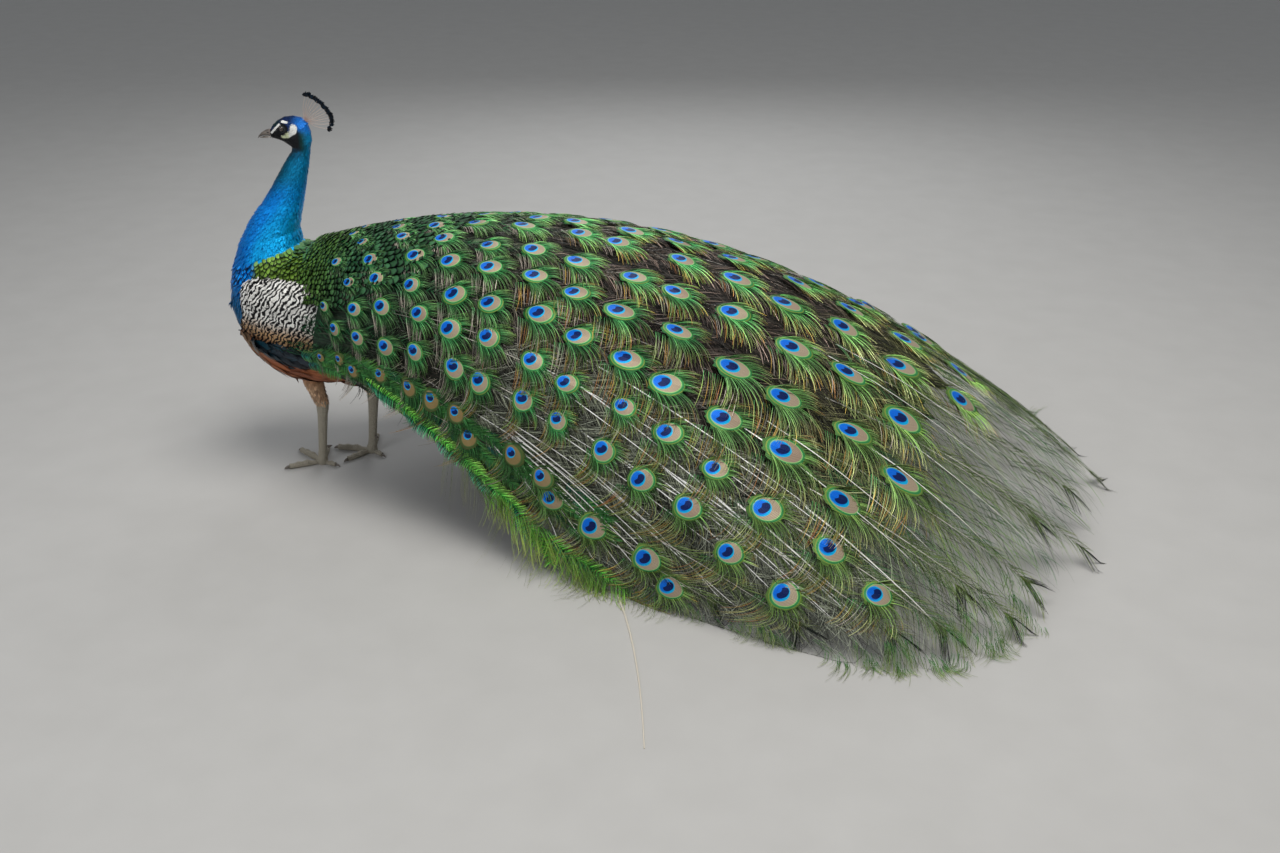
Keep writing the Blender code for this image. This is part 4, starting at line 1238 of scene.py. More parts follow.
# %% [markdown]
# ## Small feathers
# A body feather is a small leaf: it leaves the skin at a low angle, is widest past its middle, has
# a rounded end and is arched from side to side. Neighbours overlap as tiles do, because each one
# rises from the skin to the top of the coat along its length.

# %% Small feather builder
LEAF_ROWS, LEAF_COLUMNS = 4, 3
LEAF_OUTLINE = (0.45, 0.95, 1.0, 0.62)
LEAF_STRAY = 0.12


def lie_of(points, normals, way):
    """Turn a flow direction into the skin's plane, with a little disorder."""
    way = unit(way - normals * (way * normals).sum(1, keepdims=True))
    across = np.cross(normals, way)
    stray = chance.normal(0, 0.1, (len(points), 1))
    return unit(way + across * stray)


def leaves(roots, normals, way, length, width, rise, colour, patch=None, camber=0.25,
           outline=LEAF_OUTLINE, follow=False):
    """Small feathers from their roots: points, faces, tint, vane and patch arrays. `way` is one
    direction or one for each. Long ones follow the skin's curve: each point moves along its
    feather's normal as far as the skin does."""
    count = len(roots)
    length = length * uniform(1 - LEAF_STRAY, 1 + LEAF_STRAY, count)
    width = width * uniform(1 - LEAF_STRAY, 1 + LEAF_STRAY, count)
    rise = rise * uniform(0.8, 1.2, count)
    along = lie_of(roots, normals, np.asarray(way))
    across = np.cross(normals, along)
    t = np.linspace(0, 1, len(outline))[None, :, None]
    s = np.linspace(-1, 1, LEAF_COLUMNS)[None, None, :]
    forth = length[:, None, None] * (t - 0.16 * s ** 2 * t ** 2)
    half = width[:, None, None] / 2 * np.array(outline)[None, :, None]
    up = rise[:, None, None] * (1 - (1 - t) ** 1.6) - camber * half * s ** 2
    points = (roots[:, None, None, :] + along[:, None, None, :] * forth[..., None]
              + across[:, None, None, :] * (half * s)[..., None])
    shape = (count, len(outline), LEAF_COLUMNS)
    if follow:
        near = np.array([skin_tree.find_nearest(Vector(spot))[0] for spot in points.reshape(-1, 3)])
        rest = ((near.reshape(points.shape) - points) * normals[:, None, None, :]).sum(-1)
        up = up + rest.clip(-0.45 * length.max(), 0.004)
    points = points + normals[:, None, None, :] * up[..., None]
    t, s = np.broadcast_to(t, shape), np.broadcast_to(s, shape)
    mood = np.broadcast_to(chance.random(count)[:, None, None], shape)
    vane = np.stack([s, t, mood], -1)
    tint = np.broadcast_to(colour[:, None, None, :], (*shape, 3))
    spots = patches(body_patch(roots) if patch is None else patch, s, t)
    return points, grid_faces(count, len(outline), LEAF_COLUMNS), tint, vane, spots


def leaf_piece(name, finish, made):
    points, faces, tint, vane, patch = made
    make_piece(name, points, faces, finish, tint=tint, vane=vane, patch=patch)


def coat(name, finish, slot, solids, spacing, size, colour, way=None, keep=None, tries=5.0, **shape):
    """Cover solids with small feathers. `size` is their length, width and rise and `colour` a
    rule of place. They lie along the spine, or else one given way."""
    roots, normals, tops = scatter(solids, spacing, keep, tries)
    way = spine_place(roots)[2] if way is None else way
    leaf_piece(name, finish, leaves(roots, normals, way, *size, colour(tops), **shape))


def plumage(name, edge, roughness, metallic, barbs, sheen=0.0, bars=False, coat=0.0,
            rim_at=(0.4, 1.1)):
    """The finish of one kind of small feather: its tint, fine barbs, its own shade and its edge."""
    finish = Finish(name, Roughness=roughness, Metallic=metallic, Sheen_Weight=sheen, Coat_Weight=coat,
                    Coat_Roughness=0.25, Specular_IOR_Level=0.35)
    across, along, mood = finish.parts(finish.attribute("vane", "Vector"))
    colour = finish.attribute("tint")
    if bars:
        colour = finish.mix(wing_bars(finish), colour, BAR_BLACK)
    lines = ((along * 1.4 + across.size() * 0.8) * (barbs * 2 * math.pi)).sine()
    rim = (across.size() ** 3 + along ** 4).step(*rim_at)
    bright = mood * 0.35 + 0.82 + lines * 0.05 - rim * edge
    finish.paint(Base_Color=finish.darken(colour, bright.at_least(0.02)))
    finish.bump(lines, 0.00015, 0.35)
    return finish


print("small feathers have", (LEAF_ROWS - 1) * (LEAF_COLUMNS - 1) * 2, "triangles each")

# %% Feathers of the head
crown_finish = plumage("crown_plumage", edge=0.25, roughness=0.4, metallic=0.35, barbs=5.0)


def off_bare_skin(points):
    """Where feathers grow on the head: not on bare skin, eyes or bill."""
    straight = head_frame(points)
    white, _ = bare_face(straight)
    eye_gap = np.hypot(straight[:, 0] - EYE_CENTRE[0], straight[:, 2] - EYE_CENTRE[2])
    on_eye = (eye_gap < 0.0078) & (np.abs(straight[:, 1]) > 0.01)
    return (white < 0.35) & ~on_eye & (straight[:, 0] < 0.0452)


def head_feathers():
    roots, normals, tops = scatter(["head"], 0.0017, off_bare_skin, tries=4.0)
    share, _, way = spine_place(roots)
    way = turn_with_head(way + NECK_TOP) - NECK_TOP
    size = 0.0034 + 0.0028 * between(share, 0.02, 0.14)
    return leaves(roots, normals, way, size, size * 0.55, 0.0009, head_colour(tops))


leaf_piece("feathers_head", crown_finish, head_feathers())

# %% Feathers of the neck
neck_finish = plumage("neck_plumage", edge=0.22, roughness=0.4, metallic=0.6, barbs=9.0)


def collar_colour(points):
    """The neck's colour, and the head's where feathers of the neck stand on the head."""
    colour = neck_colour(points)
    high = points[:, 2] > 0.71
    colour[high] = head_colour(points[high])
    return colour


def before_wing(points):
    """The front edge of the wing's pod, which the breast's blue feathers hide down to its lowest
    part."""
    return points[:, 0] > 0.112 + 0.8 * np.maximum(0.4 - points[:, 2], 0)


coat("feathers_neck_upper", neck_finish, "blue_feathers", ["neck_upper"], 0.003,
     (0.0105, 0.0048, 0.0026), collar_colour)
coat("feathers_neck_lower", neck_finish, "blue_feathers",
     ["neck_lower", "wing_left_coverts", "wing_right_coverts"], 0.0043,
     (0.0165, 0.0074, 0.0038), collar_colour,
     keep=lambda p: (p[:, 2] > 0.5) | (np.abs(p[:, 1]) < 0.06) | before_wing(p))

# %% Feathers of the trunk
trunk_finish = plumage("trunk_plumage", edge=0.45, roughness=0.42, metallic=0.3, barbs=11.0)


def on_mantle(points):
    x, y, z = points.T
    return (z > 0.425) & (x < 0.15) & (np.abs(y) < 0.125) & (under_collar(points) > -0.003)


coat("feathers_trunk", trunk_finish, "body_feathers", ["trunk"], 0.0062,
     (0.021, 0.0098, 0.005), trunk_colour, keep=lambda p: ~on_mantle(p), follow=True)

# %% Feathers of the thighs
thigh_finish = plumage("thigh_plumage", edge=0.15, roughness=0.6, metallic=0.0, barbs=8.0, sheen=0.3)


def thigh_feathers():
    thighs = ["leg_left_thigh", "leg_right_thigh"]
    roots, normals, tops = scatter(thighs, 0.0042, lambda p: p[:, 2] > 0.158)
    size = 0.0075 + 0.0075 * between(tops[:, 2], 0.16, 0.21)
    colour = mixed(BUFF, (0.36, 0.21, 0.12), chance.random(len(roots)))
    colour = mixed(colour, (0.46, 0.19, 0.075), 0.7 * between(tops[:, 2], 0.205, 0.235))
    rise = 0.003 * between(tops[:, 2], 0.15, 0.19) + 0.0008
    return leaves(roots, normals, (-0.08, 0.0, -1.0), size, size * 0.42, rise, colour)


leaf_piece("feathers_thighs", thigh_finish, thigh_feathers())

# %% Barred feathers of the wings
barred_finish = plumage("barred_plumage", edge=0.0, roughness=0.65, metallic=0.0, barbs=10.0, bars=True)
for word, _ in SIDES:
    coat(f"feathers_wing_{word}_coverts", barred_finish, "barred_feathers",
         [f"wing_{word}_coverts"], 0.0066, (0.0215, 0.0118, 0.0046), covert_colour,
         (-1.0, 0.0, -0.15), lambda p: ~before_wing(p), camber=0.15, follow=True)

# %% [markdown]
# ## Scales on the back
# The mantle is laid like fish scales: short round feathers, gold-green in the middle with a dark
# rim. They run on over the root of the train, darker and larger, until the first eyes begin.

# %% Mantle and the root of the train
scale_finish = plumage("scale_plumage", edge=1.05, roughness=0.36, metallic=0.35, barbs=6.0,
                       rim_at=(0.22, 0.75))
SCALE_OUTLINE = (0.6, 0.95, 1.0, 0.85, 0.4)


def scale_colour(points):
    return trunk_colour(points) * uniform(0.6, 1.6, (len(points), 1))


def root_scales():
    """Scales on the sheet of the train, growing tipwards and thinning out among the eyes."""
    rows = []
    share = -0.045
    while share < 0.15:
        size = 0.0115 + 0.06 * max(share, 0.0)
        reach = 0.66 - 1.8 * max(share - 0.03, 0.0)
        across = np.arange(-reach, reach, size * 0.82 / 0.3)
        rows += [(share + uniform(-0.002, 0.002), lean + uniform(-0.006, 0.006), size)
                 for lean in across]
        share += size * 0.72 / 1.6
    share, lean, size = np.array(rows).T
    roots, normals = on_train(share, lean, lift=0.0006)
    ahead, _ = on_train(share, lean, 0.01, 0.0015, 0.0006)
    green = mixed((0.14, 0.3, 0.06), (0.055, 0.17, 0.07), between(share, -0.03, 0.05))
    colour = green * uniform(0.5, 1.6, (len(share), 1))
    return leaves(roots, normals, unit(ahead - roots), size * 1.5, size * 1.15, 0.0055, colour,
                  train_patch(share, lean), camber=0.3, outline=SCALE_OUTLINE)


coat("feathers_mantle", scale_finish, "body_feathers", ["trunk"], 0.0078,
     (0.019, 0.0128, 0.0062), scale_colour, keep=on_mantle, tries=8.0, camber=0.3,
     outline=SCALE_OUTLINE)
leaf_piece("feathers_train_root", scale_finish, root_scales())

# %% [markdown]
# ## The lower parts of the folded wing
# Below the barred feathers a band of dark, blue-glossed feathers comes to a point at both ends,
# and under it lie the rusty main feathers, long, narrow and smooth. Dark, shining feathers cover
# the rear of the wing, from under the first feathers of the train.

# %% Band and main feathers
band_finish = plumage("band_plumage", edge=0.55, roughness=0.3, metallic=0.35, barbs=16.0, coat=0.1)
rufous_finish = plumage("rufous_plumage", edge=0.3, roughness=0.5, metallic=0.0, barbs=22.0)
glossy_finish = plumage("glossy_plumage", edge=0.35, roughness=0.24, metallic=0.45, barbs=18.0,
                        coat=0.3)
LONG_OUTLINE = (0.55, 0.85, 1.0, 1.0, 0.92, 0.55)


def band_colour(points):
    return mixed((0.004, 0.009, 0.016), (0.003, 0.045, 0.07), chance.random(len(points)) ** 2)


def glossy_colour(points):
    return mixed((0.006, 0.022, 0.014), (0.004, 0.05, 0.045), chance.random(len(points)))


def rufous_feathers(word):
    roots, normals, tops = scatter([f"wing_{word}_primaries"], 0.0125)
    colour = mixed((0.4, 0.125, 0.045), (0.22, 0.062, 0.026), chance.random(len(roots)))
    # Painted shade: the lowest part of the main feathers is darkened by up to half.
    colour = colour * (1 - 0.5 * between(0.262 - tops[:, 2], 0.0, 0.04))[:, None]
    front = between(tops[:, 0], 0.085, 0.115)
    colour = mixed(colour, (0.21, 0.125, 0.07), front)
    return leaves(roots, normals, (-1.0, 0.0, -0.2), 0.07 - 0.04 * front, 0.0155,
                  0.003 - 0.0015 * front, colour, camber=0.1, outline=LONG_OUTLINE, follow=True)


for word, _ in SIDES:
    coat(f"feathers_wing_{word}_rear", glossy_finish, "dark_feathers", [f"wing_{word}_coverts"],
         0.011, (0.052, 0.018, 0.0062), glossy_colour, (-1.0, 0.0, -0.55),
         lambda p: (p[:, 0] < -0.078) & (p[:, 2] > 0.33), camber=0.15, outline=LONG_OUTLINE,
         follow=True)
    coat(f"feathers_wing_{word}_band", band_finish, "dark_feathers", [f"wing_{word}_band"],
         0.0105, (0.046, 0.0165, 0.0038), band_colour, (-1.0, 0.0, -0.22), camber=0.12,
         outline=LONG_OUTLINE, follow=True)
    leaf_piece(f"feathers_wing_{word}_main", rufous_finish, rufous_feathers(word))

# %% [markdown]
# ## Hard parts
# Bill, claws and spurs are small horn shapes. Copies of their solids are fused in fine cubes and
# smoothed, then coloured by rules: a darker ridge and tip on the bill, a slit for each nostril.

# %% Bill, claws and spurs
def refined(name, nodes, voxel, finish, rule, rounds=3):
    """A smooth copy of some solids. `rule` gets the points and gives colours and a shift."""
    made, _ = fused_copy(name, nodes, voxel, rounds)
    fine = made.data
    points = read(fine.vertices, "co") - np.array(SHIFT)
    colours, shift = rule(points)
    moved = points + read(fine.vertex_normals, "vector") * shift[:, None] + np.array(SHIFT)
    fine.vertices.foreach_set("co", moved.astype(np.float32).ravel())
    set_tint(fine, colours)
    wear(fine, finish)
    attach(made, "root")
    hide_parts(*nodes)
    print(f"{name}: {len(fine.polygons) * 2} triangles")


BILL_GREY = (0.2, 0.17, 0.145)
BILL_DARK = (0.075, 0.062, 0.055)
CERE_PINK = (0.23, 0.185, 0.165)
PALE_HORN = (0.48, 0.44, 0.4)
CLAW_DARK = (0.15, 0.13, 0.11)
CLAW_TIP = (0.15, 0.125, 0.1)
bill_finish = Finish("bill_horn", Roughness=0.34, Coat_Weight=0.25, Coat_Roughness=0.2,
                     Specular_IOR_Level=0.45)
bill_streaks = bill_finish.noise(500.0, detail=3.0) * 0.5 + 0.75
bill_finish.paint(Base_Color=bill_finish.darken(bill_finish.attribute("tint"), bill_streaks))
claw_finish = Finish("claw_horn", Roughness=0.38, Coat_Weight=0.15, Specular_IOR_Level=0.4)
claw_streaks = claw_finish.noise(400.0, detail=3.0) * 0.7 + 0.65
claw_finish.paint(Base_Color=claw_finish.darken(claw_finish.attribute("tint"), claw_streaks))


def bill_rule(points):
    """Darker on the ridge and at the tip, pinkish at the base, with a slit for each nostril."""
    x, y, z = head_frame(points).T
    ridge = between(z, 0.7665, 0.7715)
    tip = between(x, 0.056, 0.066)
    colour = mixed(BILL_GREY, BILL_DARK, np.maximum(ridge * 0.8, tip * 0.6))
    colour = mixed(colour, CERE_PINK, between(0.052 - x, 0.0, 0.004) * (1 - ridge * 0.6))
    nostril = np.hypot((x - 0.0515) / 0.003, (z - 0.7675 + 0.25 * (x - 0.0515)) / 0.001)
    inside = (1 - between(nostril, 0.7, 1.2)) * between(np.abs(y), 0.002, 0.0035)
    colour = mixed(colour, MASK_BLACK, inside)
    return colour, -0.0006 * inside


def lower_bill_rule(points):
    """The lower half is paler, most of all by the chin."""
    forward = head_frame(points)[:, 0]
    return mixed(PALE_HORN, BILL_GREY, between(forward, 0.046, 0.062)), np.zeros(len(points))


def claw_rule(points):
    return np.tile(mixed(CLAW_DARK, CLAW_TIP, 0.3), (len(points), 1)), np.zeros(len(points))


refined("bill_upper_fine", ["bill_upper"], 0.00055, bill_finish, bill_rule)
refined("bill_lower_fine", ["bill_lower"], 0.00055, bill_finish, lower_bill_rule)
claw_nodes = [name for name in frame["nodes"] if "claw" in name or "spur" in name]
refined("claws_and_spurs", claw_nodes, 0.0007, claw_finish, claw_rule, rounds=2)

# %% [markdown]
# ## Eyes
# Each eye is a wet ball set into the head: a black pupil, a dark brown iris that pales a little
# towards its rim, a clear coat over all, and a ring of dark lids that nearly closes round it.

# %% Eyes and lids
EYE_RADIUS = 0.0066
eye_ball_finish = Finish("eye_ball", Roughness=0.12, Coat_Weight=1.0, Coat_Roughness=0.03,
                         Specular_IOR_Level=0.6)
ball_x, _, _ = eye_ball_finish.parts(eye_ball_finish.attribute("vane", "Vector"))
ball_streaks = eye_ball_finish.noise(900.0, detail=2.0)
iris = eye_ball_finish.mix(ball_streaks, (0.03, 0.014, 0.007), (0.085, 0.045, 0.022))
ball_colour = eye_ball_finish.mix(ball_x.step(0.42, 0.47), (0.001, 0.001, 0.001), iris)
ball_colour = eye_ball_finish.mix(ball_x.step(0.8, 0.95), ball_colour, (0.004, 0.003, 0.003))
eye_ball_finish.paint(Base_Color=ball_colour)
lid_finish = Finish("lid_skin", Roughness=0.5, Coat_Weight=0.3, Coat_Roughness=0.3)
lid_grain = lid_finish.noise(1500.0, detail=2.0)
lid_finish.paint(Base_Color=lid_finish.mix(lid_grain, (0.012, 0.012, 0.014), (0.04, 0.038, 0.04)))
lid_finish.bump(lid_grain, 0.0002, 0.6)


def head_axes(side):
    """Outward, forward and up at one eye of the straight head."""
    outward = unit(np.array([0.3, side * 0.95, 0.05]))
    forward = unit(np.array([1.0, 0.0, 0.0]) - outward * outward[0])
    return outward, forward, np.cross(outward, forward) * side


def eye_ball(word, side):
    rings, spokes = 26, 40
    outward, forward, up = head_axes(side)
    polar = np.linspace(0.01, math.radians(115), rings)[:, None]
    spin = np.linspace(0, 2 * math.pi, spokes, endpoint=False)[None, :]
    flat = np.sin(polar)
    out = np.cos(polar) + 0.06 * np.exp(-(polar / 0.45) ** 2)
    shape = (outward[None, None] * (out * np.ones_like(spin))[..., None]
             + forward * (flat * np.cos(spin))[..., None] + up * (flat * np.sin(spin))[..., None])
    points = EYE_CENTRE * [1, side, 1] + shape * (EYE_RADIUS - 0.00015)
    vane = np.stack(np.broadcast_arrays(polar / math.radians(52), spin * 0, spin * 0), -1)
    faces = grid_faces(1, rings, spokes, closed=True)
    faces = faces if side > 0 else faces[:, ::-1]
    make_piece(f"eye_ball_{word}", turn_with_head(points), faces, eye_ball_finish, vane=vane,
               solids=[f"eye_{word}"])


def eye_lids(word, side):
    """A rounded rim that is pointed a little in front and behind."""
    around, tube = 56, 10
    outward, forward, up = head_axes(side)
    spin = np.linspace(0, 2 * math.pi, around, endpoint=False)[:, None]
    roll = np.linspace(0, 2 * math.pi, tube, endpoint=False)[None, :]
    reach = 0.0058 + 0.0007 * np.abs(np.cos(spin)) ** 6
    height = np.where(np.sin(spin) > 0, 0.86, 0.93)
    middle_out = 0.0034 - 0.0009 * np.abs(np.cos(spin)) ** 4
    thick = 0.00085 + 0.00015 * np.sin(spin * 9) ** 2
    radial = reach + np.cos(roll) * thick
    out = middle_out + np.sin(roll) * thick * 0.9
    points = (EYE_CENTRE * [1, side, 1] + outward * out[..., None]
              + forward * (radial * np.cos(spin))[..., None]
              + up * (radial * height * np.sin(spin))[..., None])
    rows = np.concatenate([points, points[:1]])
    faces = grid_faces(1, around + 1, tube, closed=True)
    make_piece(f"eye_lids_{word}", turn_with_head(rows), faces, lid_finish)


for word, side in SIDES:
    eye_ball(word, side)
    eye_lids(word, side)

# %% [markdown]
# ## The crest
# Thin bare shafts stand in a fan on the back of the crown. Each ends in a small dark tuft, and
# seen from the side the tufts run together into one thick arc.

# %% Crest
CREST_BASE = np.array([-0.0315, 0.0, 0.7915])
LEFTWARD = [0.0, 1.0, 0.0]
CREST_TIPS = ((-0.036, 0.845), (-0.0415, 0.8436), (-0.047, 0.84), (-0.053, 0.8366), (-0.059, 0.8325),
              (-0.065, 0.8268), (-0.07, 0.82), (-0.0745, 0.8155), (-0.078, 0.81), (-0.0808, 0.8046),
              (-0.083, 0.799), (-0.0838, 0.7925), (-0.083, 0.786), (-0.0765, 0.774))
crest_shaft_finish = Finish("crest_shafts", Roughness=0.5)
crest_shaft_finish.paint(Base_Color=crest_shaft_finish.attribute("tint"))
crest_tuft_finish = Finish("crest_tufts", Roughness=0.36, Metallic=0.3, Specular_IOR_Level=0.3)
crest_tuft_finish.paint(Base_Color=crest_tuft_finish.attribute("tint"))


def build_crest():
    tips = np.array([[x, 0.0, z] for x, z in CREST_TIPS])
    tips[:, 1] = np.tile([0.0024, -0.0026, 0.0008, -0.001], 4)[:len(tips)]
    count, steps = len(tips), 12
    t = np.linspace(0, 1, steps)[None, :, None]
    base = CREST_BASE + np.linspace([0.004, 0, 0.0016], [-0.0005, 0, -0.003], count)
    base[:, 1] = tips[:, 1] * 0.6
    chord = tips - base
    bow = np.cross(unit(chord), LEFTWARD) * np.linspace(-0.0035, 0.0035, count)[:, None]
    path = base[:, None] + chord[:, None] * t + bow[:, None] * np.sin(math.pi * t)
    flat = unit(np.cross(unit(np.gradient(path, axis=1)), LEFTWARD))
    half = np.linspace(0.00052, 0.00032, steps)[None, :, None]
    side = np.array(LEFTWARD) * half
    ring = np.stack([path + flat * half, path + side, path - flat * half, path - side], 2)
    spots = np.broadcast_to(body_patch(base)[:, None, None, :], (*ring.shape[:3], 2))
    along = np.broadcast_to(t[..., None], (*ring.shape[:3], 1))
    tint = mixed((0.6, 0.4, 0.32), (0.8, 0.66, 0.56), along[..., 0])
    make_piece("crest_shafts", turn_with_head(ring), grid_faces(count, steps, 4, closed=True),
               crest_shaft_finish, tint=tint, patch=spots + (along - 0.5) * PATCH,
               solids=["crest"])
    blades, rows = 15, 5
    spread = np.linspace(-1, 1, blades)[None, :, None]
    s = np.linspace(0, 1, rows)[None, None, :]
    heading = unit(chord)[:, None, None, :]
    across = unit(np.cross(chord, LEFTWARD))[:, None, None, :]
    angle = spread + uniform(-0.12, 0.12, (count, blades, 1))
    reach = 0.0105 * (1 - 0.32 * spread ** 2) * uniform(0.85, 1.15, (count, blades, 1))
    forward, sideways = np.cos(angle) * reach * s - 0.0035, np.sin(angle) * reach * s
    lean = uniform(-0.0022, 0.0022, (count, blades, 1)) * s
    paths = (tips[:, None, None, :] + heading * forward[..., None] + across * sideways[..., None]
             + LEFTWARD * lean[..., None]).reshape(-1, rows, 3)
    flats = unit(np.cross(np.gradient(paths, axis=1), LEFTWARD))
    widths = np.tile(np.array([0.0004, 0.0011, 0.0015, 0.0013, 0.0005]), (len(paths), 1))
    points, faces, over, along = ribbons(paths, widths, flats)
    hue = np.repeat(chance.random(len(paths)), rows * 2)
    tint = mixed((0.003, 0.004, 0.006), (0.003, 0.018, 0.04), hue ** 2)
    spots = patches(np.repeat(body_patch(base), blades, axis=0) + [0.002, 0.0], over, along)
    make_piece("crest_tufts", turn_with_head(points), faces, crest_tuft_finish, tint=tint,
               patch=spots)


build_crest()

# %% [markdown]
# ## The tail, the loose quill and the lower edge of the train
# Under the train a fan of plain brown tail feathers holds it up. Along the train's lower edge lie
# short curved feathers with dense bright green barbs, and past them thin loose barbs hang down.
# The longest feathers end in a fork instead of an eye, and stand clear of the others at the rear.

# %% Tail and loose quill
tail_finish = Finish("tail_plumage", Roughness=0.6, Specular_IOR_Level=0.25)
tail_lines = (tail_finish.parts(tail_finish.place())[1] * 900.0).sine()
tail_finish.paint(Base_Color=tail_finish.mix(tail_lines * 0.5 + 0.5, (0.035, 0.024, 0.016),
                                             (0.07, 0.048, 0.032)))
wear(frame["nodes"]["tail"].data, tail_finish)
quill_finish = Finish("loose_quill", Roughness=0.4, Coat_Weight=0.1)
quill_height = quill_finish.parts(quill_finish.place())[2]
quill_finish.paint(Base_Color=quill_finish.mix(quill_height.step(0.0, 0.2), (0.72, 0.66, 0.56),
                                               (0.85, 0.83, 0.77)))
wear(frame["nodes"]["train_loose_quill"].data, quill_finish)
print("the tail and the loose quill keep their solids' shapes")

# %% Feathers of the lower edge
EDGE_GREEN = (0.04, 0.19, 0.048)
EDGE_YELLOW = (0.15, 0.31, 0.055)
EDGE_TEAL = (0.005, 0.095, 0.08)
# Painted light: the sabres' greens are raised far past their own colour, up to the limit, to make up for
# the shade they hang in under the overhead lamp.
SABRE_GREEN = (0.1, 0.7, 0.08)
SABRE_YELLOW = (0.52, 1.0, 0.18)
SABRE_TEAL = (0.07, 0.85, 0.56)
EDGE_LEAN = 0.97


def bunched(colour, number, fast, slow, wander, low, high):
    """Darken barbs by turns, so that neighbours hang together in bunches of uneven size: the dark
    barbs between bunches are painted shade of the gaps.
    """
    bunch = 0.5 + 0.5 * np.sin(number * fast + np.sin(number * slow) * wander)
    return colour * (low + high * bunch ** 1.3)[:, None, None]


def edge_barbs(side):
    """Dense short barbs on both sides of short shafts that follow the lower edge."""
    feathers, each = 46, 84
    share = np.linspace(-0.02, 0.7, feathers) + uniform(-0.008, 0.008, feathers)
    share = np.repeat(share, each)
    lean = side * np.repeat(uniform(0.9, 0.965, feathers), each)
    count = feathers * each
    number = np.tile(np.arange(each), feathers)
    hand = hands(number)
    shaft = np.repeat(uniform(0.085, 0.125, feathers), each)
    place = (number // 2) / (each / 2) + uniform(-0.01, 0.01, count)
    heading = hand * np.radians(34 + 22 * (1 - place)) + 0.15
    bend = hand * np.radians(uniform(-12, 8, count))
    full = 0.55 + 0.45 * np.sin(math.pi * place.clip(0.05, 0.95))
    length = 0.026 * full * uniform(0.85, 1.15, count)
    lift = 0.001 + 0.004 * place + uniform(-0.001, 0.001, count)
    width = 0.00095 * uniform(0.8, 1.2, count)
    walk = walk_barbs(share, lean, heading, bend, length, lift, width, place * shaft,
                      0.004 * place ** 2, 0.0015)
    mood = np.repeat(chance.random(feathers), each)
    base = mixed(EDGE_TEAL, EDGE_GREEN, between(place, 0.1, 0.45)) * (0.6 + 0.8 * mood[:, None])
    ends = mixed(EDGE_GREEN, EDGE_YELLOW, mood)
    colour = mixed(base[:, None], ends[:, None], ALONG_BARB ** 1.5)
    return *walk, shade(colour, 0.45, 1.25), train_patch(share, lean)


def sabre_feathers(side):
    """Longer curved feathers that hang just below the edge, their short barbs packed like the
    bristles of a brush. Each row gives share and down at the start, then at the end."""
    each = 300
    spans = np.array([(0.2, -0.005, 0.36, 0.012), (0.31, 0.006, 0.47, 0.028),
                      (0.42, 0.02, 0.58, 0.036), (0.53, 0.03, 0.68, 0.034),
                      (0.65, 0.03, 0.84, 0.076), (0.78, 0.028, 0.95, 0.006)])
    spans = spans + uniform(-0.006, 0.006, spans.shape)
    count = len(spans) * each
    from_share, from_down, to_share, to_down = np.repeat(spans, each, axis=0).T
    number = np.tile(np.arange(each), len(spans))
    hand = hands(number)
    place = (number + chance.random(count)) / each
    share = from_share + (to_share - from_share) * place
    down = from_down + (to_down - from_down) * place ** 1.5 + 0.006 * np.sin(place * 5.0)
    slope = np.arctan2((to_down - from_down) * 1.5 * place ** 0.5, (to_share - from_share) * 1.1)
    heading = slope + hand * np.radians(72 - 42 * place ** 3 + uniform(-5, 5, count))
    bend = -hand * np.radians(uniform(15, 35, count))
    full = np.sin(math.pi * (0.1 + 0.8 * place)) ** 0.6
    length = 0.025 * full * uniform(0.88, 1.12, count) + 0.02 * between(place, 0.88, 1.0)
    lift = 0.005 + uniform(-0.001, 0.001, count)
    width = 0.0006 * uniform(0.8, 1.2, count)
    lean = np.full(count, EDGE_LEAN * side)
    walk = walk_barbs(share, lean, heading, bend, length, lift, width, 0.0, down, 0.0035)
    teal = (hand > 0) * between(0.75 - place, 0.0, 0.3) * 0.8
    base, ends = mixed(SABRE_GREEN, EDGE_TEAL, teal), mixed(SABRE_YELLOW, SABRE_TEAL, teal)
    colour = mixed(base[:, None], ends[:, None], ALONG_BARB)
    colour = bunched(colour, number, 0.58, 0.13, 2.0, 0.1, 1.4)
    return *walk, shade(colour, 0.6, 1.3, 1.0), train_patch(share, lean)


